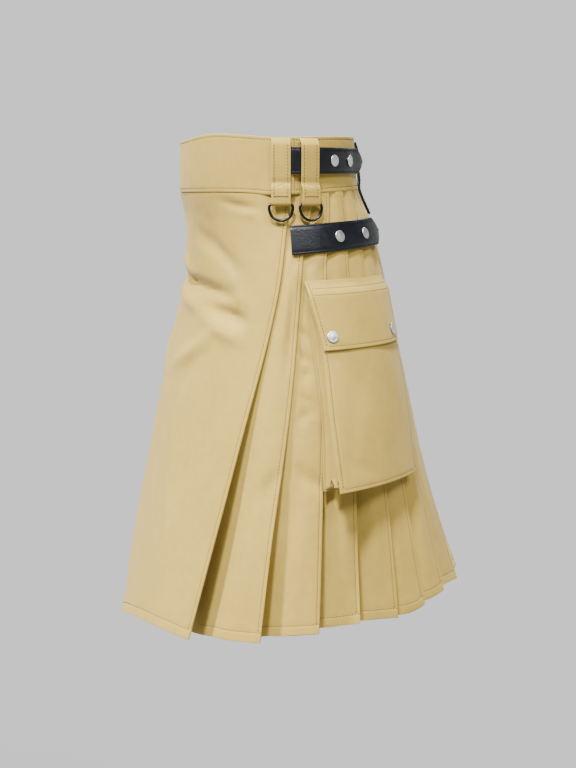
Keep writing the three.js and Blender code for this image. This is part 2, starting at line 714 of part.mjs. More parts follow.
const pocketBack = (side) => pocketPanel(side, 0, () => POCKET_BACK_OUT);
const pocketFront = (side) => pocketPanel(side, 1, pocketStand);

// The bellows strip down one side, along the bottom and up the other, folded in along its middle.
function gusset(side) {
  const inset = 2.4;
  const bottom = POCKET.bottom - inset;
  const across = (drop, length, share) => {
    const width = pocketEdge("rear", drop) - pocketEdge("front", drop);
    return share + (turnFor(length, drop, pocketTurn(drop, 0.5)) / width) * (share < 0.5 ? 1 : -1);
  };
  const sideRows = (share, drops) => drops.map((drop) => ({ drop, share, inDrop: 0, inAcross: 1 }));
  const downward = steps(POCKET.top, POCKET.bottom, POCKET.rows).slice(0, -1);
  const path = [
    ...sideRows(0, downward),
    { drop: bottom, share: 0, inDrop: -1, inAcross: 1 },
    ...steps(0, 1, POCKET.steps)
      .slice(1, -1)
      .map((share) => ({ drop: bottom, share, inDrop: -1, inAcross: 0 })),
    { drop: bottom, share: 1, inDrop: -1, inAcross: 1 },
    ...sideRows(1, [...downward].reverse()),
  ];
  const DEPTHS = [0, 0.25, 0.5, 0.75, 1];
  const grid = (push) =>
    path.map((p) =>
      DEPTHS.map((depth) => {
        const tuck = GUSSET_TUCK * (1 - Math.abs(2 * depth - 1)) + push;
        const drop = p.drop + p.inDrop * tuck;
        const share = across(drop, p.inAcross * (inset + tuck), p.share);
        const low = POCKET_BACK_OUT + CLOTH / 2 + 2 * SEAM_GAP;
        const high = pocketStand(drop, share) - CLOTH / 2 - 2 * SEAM_GAP;
        return place(drop, side * pocketTurn(drop, share, depth), lerp(low, high, depth));
      }),
    );
  return wallBetween(grid(0), grid(CLOTH));
}

// The flap starts on the skirt and comes down over the pocket's front panel.
function flapOut(drop, share) {
  const down = THREE.MathUtils.clamp((drop - FLAP.top) / (FLAP.bottom - FLAP.top), 0, 1);
  const resting = pocketStand(drop, share) + CLOTH / 2 + SEAM_GAP + FLAP.wall / 2 + 0.3;
  return lerp(1.2, resting, smooth(down, 0, 0.22)) + FLAP.sag * 0.2 * down;
}

function flapPlace(side, drop, share, shift = 0) {
  const margin = turnFor(FLAP.inset, drop, 110) / (pocketEdge("rear", drop) - pocketEdge("front", drop));
  const within = lerp(margin, 1 - margin, share);
  return place(drop, side * pocketTurn(drop, within), flapOut(drop, share) + shift);
}

function flap(side) {
  const drops = [FLAP.top, FLAP.top + 9, ...steps(FLAP.top + 20, FLAP.bottom, FLAP.rows)];
  const shares = steps(0, 1, FLAP.steps);
  const grid = (shift) => drops.map((drop) => shares.map((share) => flapPlace(side, drop, share, shift)));
  return wallBetween(grid(FLAP.wall / 2), grid(-FLAP.wall / 2));
}

function flapStud(side, share) {
  const point = flapPlace(side, FLAP_STUDS.drop, share, FLAP.wall / 2 + SEAM_GAP);
  const at = (drop, turnShare) => flapPlace(side, drop, turnShare / 100);
  return stud(point, facingAt(at, FLAP_STUDS.drop, share * 100, side));
}

// Assembly

const kilt = new THREE.Group();

function add(name, geometry, finish) {
  const mesh = new THREE.Mesh(geometry, finish);
  mesh.name = name;
  kilt.add(mesh);
}

add("apron_outer", apron(), TWILL);
add("apron_under", underApron(), TWILL);
add("waistband_apron", apronBand(), TWILL);
add("waistband_back", backBand(), TWILL);
add("waistband_under", underBand(), TWILL);

for (const [word, side] of [["left", LEFT], ["right", RIGHT]]) {
  add(`pleats_${word}`, pleats(side), TWILL);
  for (const [place_, turn] of Object.entries(LOOP_TURNS)) {
    const bandOut = turn < APRON_BAND.end ? apronBandOut(turn) : BACK_BAND.out;
    add(`loop_${word}_${place_}`, beltLoop(side * turn, bandOut), TWILL);
    add(`ring_${word}_${place_}`, ring(side * turn), RING_METAL);
  }
  for (const [name, strap] of [["waist", WAIST_STRAP], ["hip", HIP_STRAP]]) {
    add(`strap_${name}_${word}`, strapSolid(strap, side), STRAP_LEATHER);
    strap.studs.forEach((turn, i) =>
      add(`stud_${name}_${word}_${i + 1}`, strapStud(strap, side, turn), STUD_METAL),
    );
  }
  add(`back_loop_${word}`, backLoop(side), STRAP_LEATHER);
  add(`pocket_back_${word}`, pocketBack(side), TWILL);
  add(`pocket_front_${word}`, pocketFront(side), TWILL);
  add(`pocket_gusset_${word}`, gusset(side), TWILL);
  add(`pocket_flap_${word}`, flap(side), TWILL);
  FLAP_STUDS.shares.forEach((share, i) =>
    add(`stud_flap_${word}_${i + 1}`, flapStud(side, share), STUD_METAL),
  );
}

export default kilt;
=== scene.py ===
"""The khaki wrap kilt, dressed: sewn twill with pressed pleats, black leather straps, nickel studs
and black D-rings, hollow as worn. Sizes here are in millimetres until a mesh is made."""

import math

import bpy
import numpy as np
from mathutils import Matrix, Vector


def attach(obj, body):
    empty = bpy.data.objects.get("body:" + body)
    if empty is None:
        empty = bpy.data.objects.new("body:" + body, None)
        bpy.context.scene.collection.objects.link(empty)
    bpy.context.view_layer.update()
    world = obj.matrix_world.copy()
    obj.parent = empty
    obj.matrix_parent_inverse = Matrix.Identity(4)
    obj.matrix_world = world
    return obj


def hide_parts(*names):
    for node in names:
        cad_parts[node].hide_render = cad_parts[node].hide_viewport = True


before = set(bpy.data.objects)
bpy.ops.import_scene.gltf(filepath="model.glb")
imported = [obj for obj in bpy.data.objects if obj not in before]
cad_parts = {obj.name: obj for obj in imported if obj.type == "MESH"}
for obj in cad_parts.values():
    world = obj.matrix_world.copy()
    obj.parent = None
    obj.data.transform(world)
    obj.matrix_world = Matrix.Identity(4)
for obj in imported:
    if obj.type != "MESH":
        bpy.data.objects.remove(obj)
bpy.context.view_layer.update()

BAND_HEIGHT = 63.0
RIM_Z = BAND_HEIGHT / 2
LENGTH = 610.0
CLOTH = 1.0
BAND_WALL = 2.4
LEATHER = 2.6
SEAM_GAP = 0.3
LAYER_PITCH = 1.6
SKIRT_TOP = BAND_HEIGHT + SEAM_GAP + 0.2
PRESSED_DEPTH = 3.6
LAP_PRESSED = 14.0
LAP_OPEN = 28.0
HEM_SEAM = 12.0  # the hem's stitching, above its edge
EDGE_SEAM = 4.5  # the stitching beside a folded edge
STRAP_SEAM = 2.6  # the stitching beside a strap's edge
POCKET_SEAM = 4.6  # the stitching beside the edges of a pocket and of its flap
SEAM_RELIEF = 0.32  # how deep the stitching presses into a folded edge
CREASE_BOW = 3.0  # how far a crease strays from a straight line

# The worn form: drop below the rim, half width, depth of the front and of the back, tilt.
FORM = np.array([
    [0, 150, 116, 106, -0.015],
    [62, 152, 117, 112, 0.0],
    [105, 159, 110, 130, 0.01],
    [170, 177, 110, 147, 0.025],
    [230, 190, 122, 159, 0.04],
    [330, 208, 145, 180, 0.063],
    [430, 223, 165, 202, 0.087],
    [520, 234, 183, 228, 0.108],
    [610, 242, 200, 257, 0.129],
])

# Folded edges on the wearer's left, the apron's first: the turn at five levels, where it opens, its
# depth at the hem, and how much lower its panel's hem hangs at the start, the middle and the edge.
FOLD_LEVELS = [64, 165, 350, 480, 610]
FOLDS = [
    ([84.5, 75, 58.5, 49.5, 42], 215, 36, (0, 0, 0)),
    ([99, 88, 78.5, 72.5, 69], 330, 32, (-3.8, -3.2, 0.4)),
    ([111, 101.5, 95, 92, 90], 300, 30, (-2.6, -3.2, -0.9)),
    ([124, 115, 108, 105, 102.5], 280, 32, (-4, -3.2, -3)),
    ([136.5, 127.5, 121, 118.5, 115.5], 400, 28, (0, 1.8, 6)),
    ([148, 139, 132.5, 129, 127], 330, 24, (5, 7.5, 2)),
    ([158.5, 150.5, 144.5, 141.5, 139], 420, 24, (3, 1.5, -2.5)),
    ([169, 163, 158, 155.5, 154], 340, 28, (0, -0.4, 0.6)),
    ([178.6, 177, 174.5, 172.5, 171], 260, 32, (0, 1, 2.5)),
]

# How far the waistband's edges lie below their nominal levels, and how much the apron's hem is
# pulled up, by turn.
BAND_TOP = np.array([
    [-180, -150, -92, -60, -20, 0, 8, 16, 28, 38, 52, 68, 80, 92, 130, 150, 180],
    [-4.3, -4.3, -1, 0.6, 2.4, 2.6, 1.4, -0.4, -3.4, -4.4, -2.8, -0.6, 0.2, -1, -3.5, -4.3, -4.3],
])
BAND_BOTTOM = np.array([[0, 40, 58, 72, 86, 105, 142, 180], [5.2, 4.5, 5.4, 7.6, 6.8, 5, 1.5, 1]])
SHIFT_ENDS = 125
APRON_HEM_RISE = np.array([[-42, -30, -18, -10, -2, 6, 18, 30, 42], [0, -5, -7, 1, 7.5, 12, 14, 10.5, 3]])

# Soft troughs (depth below zero) and ridges in the apron: from and to as (drop, turn), width, depth.
APRON_CREASES = [
    ((176, -28), (196, 44), 9, 11.0),
    ((206, 18), (240, 72), 9, 8.5),
    ((116, 12), (168, 48), 12, 5.5),
    ((69, 36), (84, 63), 6, 3.6),
    ((193, -12), (214, 34), 9, -4.6),
    ((223, 26), (257, 66), 9, -3.8),
    ((150, -14), (181, 9), 9, -4.4),
    ((238, 36), (288, 4), 11, -4.8),
    ((140, 26), (176, 44), 8, -1.8),
    ((84, 52), (112, 72), 8, -1.8),
    ((92, 22), (138, 30), 12, 2.2),
    ((192, 40), (214, 66), 6, -1.6),
    ((258, 22), (318, 16), 15, 3.0),
    ((290, 48), (420, 36), 13, 2.4),
    ((270, 62), (340, 54), 9, -1.6),
    ((330, 4), (520, -4), 22, 3.2),
    ((400, 20), (590, 24), 17, -3.0),
    ((440, 36), (600, 34), 12, 2.2),
    ((118, -14), (168, -46), 14, 4.0),
    ((208, -18), (234, -60), 10, 5.4),
    ((72, -30), (88, -58), 8, 2.6),
    ((240, -34), (300, -8), 12, -3.0),
    ((310, -40), (470, -32), 14, 2.6),
    ((400, -22), (600, -24), 18, -2.8),
]
SKIRT_CREASES = [
    ((150, 85), (180, 79), 4, 1.6),
    ((152, 82), (190, 87), 4.5, -1.5),
    ((160, 78), (176, 84), 4, -1.4),
    ((168, 78), (262, 73), 6, -2.2),
    ((196, 80), (300, 76), 5, 2.2),
    ((236, 84), (256, 91), 4, 3.2),
    ((262, 84.5), (278, 91), 4.5, 3.6),
    ((288, 91), (300, 85.5), 4.5, 3.2),
    ((314, 84.5), (328, 91), 4.5, 3.4),
    ((336, 91), (350, 83), 4.5, 3.8),
    ((352, 86), (392, 90), 6, -1.8),
    ((402, 83), (432, 93), 7, 4.2),
    ((405, 84), (500, 82), 7, 2.4),
    ((300, 66), (430, 64), 9, -2.6),
    ((330, 71), (470, 62), 7, 1.8),
    ((408, 75), (446, 66), 8, 3.2),
    ((430, 58), (590, 54), 10, 3.2),
    ((470, 62), (600, 60), 8, -2.4),
    ((150, 105), (174, 97), 6, 1.3),
    ((150, 122), (180, 118), 6, 1.2),
    ((455, 82), (600, 78), 7, 2.4),
    ((470, 74), (560, 72), 7, -1.8),
    ((520, 84), (600, 82), 5, 1.6),
    ((470, 99), (590, 95), 6, 2.0),
    ((440, 104), (600, 101), 7, 3.0),
    ((460, 112), (600, 108), 6, -1.8),
    ((200, 150), (330, 146), 8, 1.3),
    ((300, 166), (480, 163), 9, -1.5),
    ((120, 150), (190, 160), 12, 1.4),
    ((380, 150), (590, 148), 7, 1.4),
    ((90, 130), (140, 136), 8, -0.9),
]

APRON_TURN_BACK = 24.0

APRON_BAND = dict(end=86, out=-0.4, lap_out=2.3, lap_from=64, lap_to=76)
BACK_BAND = dict(start=79, out=-0.4)
UNDER_BAND = dict(right_end=78, left_end=64, out=-4.6)
UNDER_APRON = dict(seam_edge=64, hem_edge=22, out=-7.5)

WAIST_STRAP = dict(start=77, end=152, drops=(28.5, 27.5), width=33, out=5.1, far=3.4,
                   settle=(100, 125), lift=6.0, studs=(114, 131))
HIP_STRAP = dict(start=82, end=153, drops=(127, 118.5), width=36, out=2.1, far=6.5,
                 settle=(118, 158), lift=0.0, studs=(111, 131.5))
STRAP_TIP = dict(length=21, narrow=0.8)
BACK_LOOP = dict(turn=163, width=26, top=1.5, bottom=98, out=2.6, stand=2.4)

RING = dict(half=15.1, height=21.5, wire=1.8, bar_drop=81.5, bar_out=4.9, foot_out=3.4)
RING_CLEARANCE = 0.4
LOOP = dict(width=24.0, strip=1.8, top=1.2, over_to=50, tack=58)
LOOP_TURNS = {"front": 78.4, "rear": 95.6}

POCKET_TOP = 197.0
POCKET_BOTTOM = 435.0
# Drop, then the turns of the back panel's front edge, the front panel's front edge, the rear edge.
POCKET_EDGES = np.array([
    [176, 88.1, 88.3, 143.5],
    [260, 91.2, 93.8, 141],
    [345, 93.4, 94.6, 138.5],
    [435, 92.8, 95.7, 133.3],
])
POCKET_CREASES = [
    ((290, 104), (420, 100), 9, 1.6),
    ((300, 122), (410, 126), 10, 1.4),
    ((330, 110), (426, 116), 8, -1.5),
    ((275, 112), (330, 108), 8, 1.2),
    ((400, 100), (424, 110), 7, 1.3),
]
POCKET_BACK_OUT = 1.5
POCKET_STAND = dict(front=(6, 30), rear=(6, 12), belly=6)
GUSSET_TUCK = 12.0
FLAP = dict(top=177, bottom=262, wall=1.5, inset=1.2, sag=3)
FLAP_STUDS = dict(drop=246, shares=(0.1, 0.85))

rng = np.random.default_rng(11)
UP = np.array([0, 0, 1.0])


# Form


def lerp(a, b, t):
    return a + (b - a) * t


def smooth(x, a, b):
    """0 before a and 1 after b, with a soft step between them."""
    t = np.clip((np.asarray(x, float) - a) / (b - a), 0, 1)
    return t * t * (3 - 2 * t)


def through(at, value, x):
    """A smooth curve through the pairs, read at x."""
    at, value, x = (np.asarray(v, float) for v in (at, value, x))
    slope = np.empty_like(value)
    slope[1:-1] = (value[2:] - value[:-2]) / (at[2:] - at[:-2])
    slope[0] = (value[1] - value[0]) / (at[1] - at[0])
    slope[-1] = (value[-1] - value[-2]) / (at[-1] - at[-2])
    i = np.clip(np.searchsorted(at, x, side="left") - 1, 0, len(at) - 2)
    span = at[i + 1] - at[i]
    t = np.clip((x - at[i]) / span, 0, 1)
    return (
        (2 * t**3 - 3 * t**2 + 1) * value[i]
        + (t**3 - 2 * t**2 + t) * span * slope[i]
        + (-2 * t**3 + 3 * t**2) * value[i + 1]
        + (t**3 - t**2) * span * slope[i + 1]
    )


def unit(v):
    return v / np.maximum(np.linalg.norm(v, axis=-1, keepdims=True), 1e-9)


def nearest(values, at):
    return int(np.argmin(np.abs(values - at)))


def spaced(start, stop, step):
    return np.linspace(start, stop, max(2, int(round((stop - start) / step)) + 1))


def form_at(drop):
    return [through(FORM[:, 0], FORM[:, k], drop) for k in (1, 2, 3, 4)]


def place(drop, turn, out=0.0):
    """Points at (drop, turn, out), shaped (..., 3)."""
    drop, turn, out = np.broadcast_arrays(*(np.asarray(v, float) for v in (drop, turn, out)))
    half, front, back, tilt = form_at(drop)
    a = np.radians(turn)
    depth = np.where(np.cos(a) > 0, front, back)
    y = -depth * np.cos(a)
    n = unit(np.stack([np.sin(a) / half, -np.cos(a) / depth, 0 * a], -1))
    return np.stack([half * np.sin(a), y, RIM_Z - drop + tilt * y], -1) + n * out[..., None]


def turn_for(length, drop, turn):
    """Degrees of turn that a length along the girth takes."""
    half, front, back, _ = form_at(drop)
    a = np.radians(turn)
    depth = np.where(np.cos(a) > 0, front, back)
    return np.degrees(length / np.hypot(half * np.cos(a), depth * np.sin(a)))


def band_level(drop, turn, follow_bottom=1.0):
    """The true level of a nominal level on the waistband."""
    signed = (turn + 180) % 360 - 180
    share = drop / BAND_HEIGHT
    lower = follow_bottom * through(*BAND_BOTTOM, np.abs(signed)) * share
    return drop + through(*BAND_TOP, signed) * (1 - share) + lower


def skirt_level(drop, turn):
    """The skirt follows the waistband's lower edge near the top."""
    return drop + through(*BAND_BOTTOM, np.abs(turn)) * (1 - smooth(drop, SKIRT_TOP, SHIFT_ENDS))


def apron_rise(drop, turn):
    return through(*APRON_HEM_RISE, turn) * smooth(drop, 200, LENGTH)


def creases_at(creases, drop, turn):
    """How far the listed troughs press the cloth in. Each is bowed a little to one side or the other."""
    per_degree = 1 / turn_for(1, drop, turn)
    total = np.zeros(np.broadcast(drop, turn).shape)
    for (d0, t0), (d1, t1), width, depth in creases:
        ax, ay = (t1 - t0) * per_degree, d1 - d0
        hx, hy = (turn - t0) * per_degree, drop - d0
        share = np.clip((hx * ax + hy * ay) / (ax * ax + ay * ay), 0, 1)
        bow = CREASE_BOW * np.sin(math.pi * share) * (1 if (d0 + t0) % 2 else -1)
        length = np.hypot(ax, ay)
        away = np.hypot(hx - share * ax + bow * ay / length, hy - share * ay - bow * ax / length)
        total += depth * np.sin(math.pi * lerp(0.1, 0.9, share)) * np.exp(-((away / width) ** 2))
    return total


# Meshes


def add_object(name, data):
    obj = bpy.data.objects.new(name, data)
    bpy.context.scene.collection.objects.link(obj)
    return obj


def make_mesh(name, points, faces, mat, uv=None, sharp=38, body="kilt"):
    """A mesh piece of the points (in mm). Side pieces come as for the wearer's left, and one with the
    word right in its name is mirrored."""
    pts = np.array(points, float) / 1000
    if "right" in name:
        pts[:, 0] *= -1
        faces = [f[:, ::-1] for f in faces]
    mesh = bpy.data.meshes.new(name)
    corners = np.concatenate([f.ravel() for f in faces])
    counts = np.concatenate([np.full(len(f), f.shape[1]) for f in faces])
    starts = np.concatenate([[0], np.cumsum(counts)[:-1]])
    mesh.vertices.add(len(pts))
    mesh.vertices.foreach_set("co", pts.ravel())
    mesh.loops.add(len(corners))
    mesh.loops.foreach_set("vertex_index", corners.astype(np.int32))
    mesh.polygons.add(len(counts))
    mesh.polygons.foreach_set("loop_start", starts.astype(np.int32))
    mesh.polygons.foreach_set("loop_total", counts.astype(np.int32))
    mesh.polygons.foreach_set("use_smooth", np.ones(len(counts), bool))
    if uv is not None:
        layer = mesh.uv_layers.new(name="cloth")
        layer.data.foreach_set("uv", (uv[corners] / 1000).ravel())
    mesh.update(calc_edges=True)
    mesh.validate()
    mesh.set_sharp_from_angle(angle=math.radians(sharp))
    mesh.materials.append(mat)
    obj = add_object(name, mesh)
    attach(obj, body)
    return obj


def shell(name, mid, wall, mat, relief=None, sharp=38):
    """A closed sheet round the grid of middle points, whose columns run round the girth and rows down.
    relief moves the outer face alone. Returns the piece, and the points and normals of that face."""
    rows, cols = mid.shape[:2]
    n = unit(np.cross(np.gradient(mid, axis=0), np.gradient(mid, axis=1)))
    half = np.full((rows, cols), wall / 2)
    for i, share in ((0, 0.45), (1, 0.85)):
        for edge in (np.s_[i, :], np.s_[-1 - i, :], np.s_[:, i], np.s_[:, -1 - i]):
            half[edge] = np.minimum(half[edge], wall / 2 * share)
    outer = mid + n * half[..., None]
    if relief is not None:
        outer = outer + n * relief[..., None]
    inner = mid - n * half[..., None]
    index = np.arange(rows * cols).reshape(rows, cols)
    a, b, c, d = index[:-1, :-1], index[1:, :-1], index[1:, 1:], index[:-1, 1:]
    front = np.stack([a, b, c, d], -1).reshape(-1, 4)
    back = np.stack([a, d, c, b], -1).reshape(-1, 4) + rows * cols
    ring = np.concatenate([index[0, :], index[1:, -1], index[-1, -2::-1], index[-2:0:-1, 0]])
    after = np.roll(ring, -1)
    rim = np.stack([ring, after, after + rows * cols, ring + rows * cols], -1)
    u = np.cumsum(np.linalg.norm(np.diff(mid, axis=1, prepend=mid[:, :1]), axis=-1), axis=1)
    v = np.cumsum(np.linalg.norm(np.diff(mid, axis=0, prepend=mid[:1]), axis=-1), axis=0)
    uv = np.stack([u - u[:, cols // 2][:, None], v], -1).reshape(-1, 2)
    points = np.concatenate([outer.reshape(-1, 3), inner.reshape(-1, 3)])
    faces, uv = [front, back, rim], np.concatenate([uv, uv])
    obj = make_mesh(name, points, faces, mat, uv=uv, sharp=sharp)
    return obj, np.stack([outer, n])


def pressed(mid, rows, columns, depth=0.2):
    """The relief that stitching presses along rows and columns of the grid."""
    relief = np.zeros(mid.shape[:2])
    relief[rows] = -depth
    relief[:, columns] = -depth
    return relief


# Stitching

STITCH_ROWS = {}
MADE = set()
# The rings of a stitch along its length: share of the length, thickness, lift
STITCH_SHAPE = [(-0.5, 0.0, -0.3), (-0.27, 1.0, 0.12), (0.27, 1.0, 0.12), (0.5, 0.0, -0.3)]
LEATHER_STITCH = dict(pitch=4.4, length=2.9, radius=0.62)


def sew(group, line, pitch=4.0, length=2.4, radius=0.6):
    """Adds a row of stitches along a line, which holds points and their normals. Once the left
    side's stitches are made, the right side's mirror them and no row is added."""
    if group not in MADE:
        STITCH_ROWS.setdefault(group, []).append((*line, pitch, length, radius))


def stitch_points(line, normals, pitch, length, radius):
    """The ten points of each stitch of a row."""
    steps = np.linalg.norm(np.diff(line, axis=0), axis=1)
    along = np.concatenate([[0], np.cumsum(steps)])
    count = max(int((along[-1] - length) / pitch), 0)
    if not count:
        return np.zeros((0, 10, 3))
    centres = (along[-1] - (count - 1) * pitch) / 2 + np.arange(count) * pitch
    centres = centres + rng.uniform(-0.12, 0.12, count)

    def at(s, values=line):
        return np.stack([np.interp(s, along, values[:, k]) for k in range(3)], -1)

    n = unit(at(centres, normals))
    side = np.cross(n, unit(at(centres + 0.5) - at(centres - 0.5)))
    points = []
    for share, thick, lift in STITCH_SHAPE:
        centre = at(centres + share * length) + n * (lift * radius * 2)
        r = radius * thick
        ring = [centre + side * r, centre + n * r * 0.8, centre - side * r, centre - n * r]
        points += ring if thick else [centre]
    return np.stack(points, 1)


def make_stitches(group, mat, name=None):
    MADE.add(group)
    points = np.concatenate([stitch_points(*row) for row in STITCH_ROWS[group]])
    first = 10 * np.arange(len(points))[:, None, None]
    k = np.arange(4)
    m = (k + 1) % 4
    quads = first + np.stack([1 + k, 1 + m, 5 + m, 5 + k], -1)
    starts = first + np.stack([0 * k, 1 + m, 1 + k], -1)
    ends = first + np.stack([0 * k + 9, 5 + k, 5 + m], -1)
    faces = [quads.reshape(-1, 4), np.concatenate([starts, ends]).reshape(-1, 3)]
    make_mesh(name or group, points.reshape(-1, 3), faces, mat, sharp=180)


# Materials


def set_inputs(tree, node, inputs):
    """Gives each named input of the node a value or a link. Returns the node's outputs."""
    for key, value in inputs.items():
        if isinstance(value, bpy.types.NodeSocket):
            tree.links.new(value, node.inputs[key])
        else:
            node.inputs[key].default_value = value
    return node.outputs


def nodes_of(name):
    mat = bpy.data.materials.new(name)
    mat.use_nodes = True
    return mat, mat.node_tree, mat.node_tree.nodes["Principled BSDF"]


def object_place(tree):
    return tree.nodes.new("ShaderNodeTexCoord").outputs["Object"]


def split_axes(tree, vector):
    return set_inputs(tree, tree.nodes.new("ShaderNodeSeparateXYZ"), {0: vector})


def noise(tree, vector, scale, detail=3.0):
    inputs = {"Vector": vector, "Scale": scale, "Detail": detail, "Roughness": 0.55}
    return set_inputs(tree, tree.nodes.new("ShaderNodeTexNoise"), inputs)["Fac"]


def cells(tree, vector, scale):
    node = tree.nodes.new("ShaderNodeTexVoronoi")
    return set_inputs(tree, node, {"Vector": vector, "Scale": scale})["Distance"]


def ramp(tree, value, *stops):
    """A colour for the value. Each stop is a position with a colour or a grey."""
    node = tree.nodes.new("ShaderNodeValToRGB")
    elements = node.color_ramp.elements
    while len(elements) < len(stops):
        elements.new(0.5)
    for element, (at, colour) in zip(elements, stops):
        element.position = at
        element.color = (*(colour if isinstance(colour, tuple) else (colour,) * 3), 1)
    return set_inputs(tree, node, {"Fac": value})["Color"]


def multiply(tree, share, a, b):
    node = tree.nodes.new("ShaderNodeMix")
    node.data_type = "RGBA"
    node.blend_type = "MULTIPLY"
    return set_inputs(tree, node, {"Factor": share, "A": a, "B": b})["Result"]


def math_node(tree, kind, *values):
    node = tree.nodes.new("ShaderNodeMath")
    node.operation = kind
    return set_inputs(tree, node, dict(enumerate(values)))[0]


def ribs(tree, value, pitch):
    return math_node(tree, "SINE", math_node(tree, "MULTIPLY", value, 2 * math.pi / pitch))


def bump(tree, height, strength, distance, normal=None):
    inputs = {"Strength": strength, "Distance": distance, "Height": height}
    if normal is not None:
        inputs["Normal"] = normal
    return set_inputs(tree, tree.nodes.new("ShaderNodeBump"), inputs)["Normal"]


def twill(name):
    """Khaki cotton twill: fine slanting ribs, mottled a little, with a soft sheen."""
    mat, tree, bsdf = nodes_of(name)
    uv = tree.nodes.new("ShaderNodeUVMap")
    uv.uv_map = "cloth"
    axes = split_axes(tree, uv.outputs["UV"])
    slant = math_node(tree, "ADD", axes["X"], math_node(tree, "MULTIPLY", axes["Y"], 0.9))
    yarns = math_node(tree, "MULTIPLY", ribs(tree, axes["X"], 0.0007), 0.35)
    weave = math_node(tree, "ADD", ribs(tree, slant, 0.0011), yarns)
    spot = object_place(tree)
    base = ramp(tree, noise(tree, spot, 7, 4), (0.3, (0.325, 0.22, 0.037)), (0.7, (0.374, 0.256, 0.048)))
    grain = ramp(tree, noise(tree, spot, 90, 4), (0.35, (0.93, 0.925, 0.91)), (0.65, 1.0))
    slub = ramp(tree, noise(tree, uv.outputs["UV"], 900, 2), (0.3, (0.94, 0.935, 0.925)), (0.7, 1.0))
    rumple = bump(tree, noise(tree, spot, 38), 0.35, 0.0016)
    set_inputs(tree, bsdf, {
        "Base Color": multiply(tree, 0.8, multiply(tree, 1.0, base, grain), slub),
        "Roughness": 0.78,
        "Specular IOR Level": 0.28,
        "Sheen Weight": 0.12,
        "Sheen Roughness": 0.4,
        "Sheen Tint": (1.0, 0.93, 0.8, 1),
        "Normal": bump(tree, weave, 0.3, 0.00009, rumple),
    })
    return mat


def leather(name):
    """Black grained leather with a soft gloss."""
    mat, tree, bsdf = nodes_of(name)
    spot = object_place(tree)
    broad = noise(tree, spot, 45, 4)
    coarse = bump(tree, cells(tree, spot, 560), 0.4, 0.0004, bump(tree, broad, 0.3, 0.001))
    set_inputs(tree, bsdf, {
        "Base Color": ramp(tree, broad, (0.35, (0.002, 0.0028, 0.004)), (0.7, (0.0045, 0.0057, 0.0077))),
        "Roughness": ramp(tree, noise(tree, spot, 160), (0.3, 0.3), (0.7, 0.46)),
        "Specular IOR Level": 0.24,
        "Normal": bump(tree, cells(tree, spot, 1100), 0.4, 0.00022, coarse),
    })
    return mat


def metal(name, colour, rough, scratch=0.06, dents=0.05):
    """Plated metal whose colour and gloss vary a little with wear."""
    mat, tree, bsdf = nodes_of(name)
    wear = noise(tree, object_place(tree), 260)
    set_inputs(tree, bsdf, {
        "Base Color": ramp(tree, wear, (0.35, tuple(0.88 * c for c in colour)), (0.6, colour)),
        "Roughness": ramp(tree, wear, (0.3, rough), (0.7, rough + 2 * scratch)),
        "Metallic": 1.0,
        "Normal": bump(tree, wear, dents, 0.0002),
    })
    return mat


def thread(name, colour):
    mat, tree, bsdf = nodes_of(name)
    fuzz = noise(tree, object_place(tree), 700, 2)
    set_inputs(tree, bsdf, {
        "Base Color": ramp(tree, fuzz, (0.3, tuple(0.8 * c for c in colour)), (0.7, colour)),
        "Roughness": 0.6,
        "Specular IOR Level": 0.2,
    })
    return mat


TWILL = twill("khaki_twill")
HIDE = leather("black_leather")
NICKEL = metal("nickel", (0.72, 0.72, 0.71), 0.36)
DARK_METAL = metal("dark_metal", (0.026, 0.026, 0.03), 0.27, 0.03, 0.01)
# The ring round each stud cap is a real part, but its near-black colour is painted shade: the dark outline
# round the cap's edge.
RIVET_RIM_PAINTED_SHADE = metal("rivet_rim_painted_shade", (0.05, 0.047, 0.043), 0.5)
# The tan thread is coloured far darker than the real thread: painted shade of the stitch holes and the
# puckers beside each stitch.
TAN_THREAD_PAINTED_SHADE = thread("tan_thread_painted_shade", (0.055, 0.031, 0.009))
BLACK_THREAD = thread("black_thread", (0.003, 0.003, 0.0035))


def cloth_piece(node):
    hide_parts(node)


# The skirt


class State:
    """Where a fold and the bend beneath it lie at each of the given levels."""

    def __init__(self, fold, drop):
        turns, opens, depth, self.falls = fold
        self.open = smooth(drop, opens, LENGTH * 1.1)
        self.turn = through(FOLD_LEVELS, turns, np.maximum(drop, FOLD_LEVELS[0]))
        self.hidden = self.turn - turn_for(lerp(LAP_PRESSED, LAP_OPEN, self.open), drop, self.turn)
        self.sink = lerp(PRESSED_DEPTH, depth, self.open)

    def fall(self, share):
        """How much lower the panel's hem hangs, at a share of the way to its folded edge."""
        s = np.clip(share, 0, 1)
        start, middle, end = self.falls
        return self.open * (start * (1 - s) * (1 - 2 * s) + 4 * middle * s * (1 - s) + end * s * (2 * s - 1))


def bend(a, c1, c2, b, count=3):
    """Columns of (turn, out, fall) on the curve from a to b that is pulled towards c1 and c2."""
    found = []
    for t in np.linspace(0, 1, count + 2)[1:-1]:
        w = ((1 - t) ** 3, 3 * t * (1 - t) ** 2, 3 * t * t * (1 - t), t**3)
        found.append(tuple(sum(k * p[i] for k, p in zip(w, (a, c1, c2, b))) for i in range(3)))
    return found


SEAM_STEPS = np.array([-0.9, 0, 0.9])
SKIRT_START = SKIRT_TOP + np.array([0, 0.4, 1.2])
HEM_LINE = LENGTH - HEM_SEAM
HEM_ROWS = np.concatenate([HEM_LINE + SEAM_STEPS, LENGTH - np.array([8, 4, 1.1, 0.4, 0])])
SKIRT_ROWS = np.concatenate([
    SKIRT_START, spaced(67, 300, 5.5), spaced(306, 560, 6.5), spaced(566, 592, 6.5), HEM_ROWS
])
# Columns before a folded edge, in mm: its seam, and the start of its round lip
FOLD_EDGE = (EDGE_SEAM + 0.9, EDGE_SEAM, EDGE_SEAM - 0.9, 2.4, 1.3)
LIP = FOLD_EDGE[-1]
BEND_END = 1.2


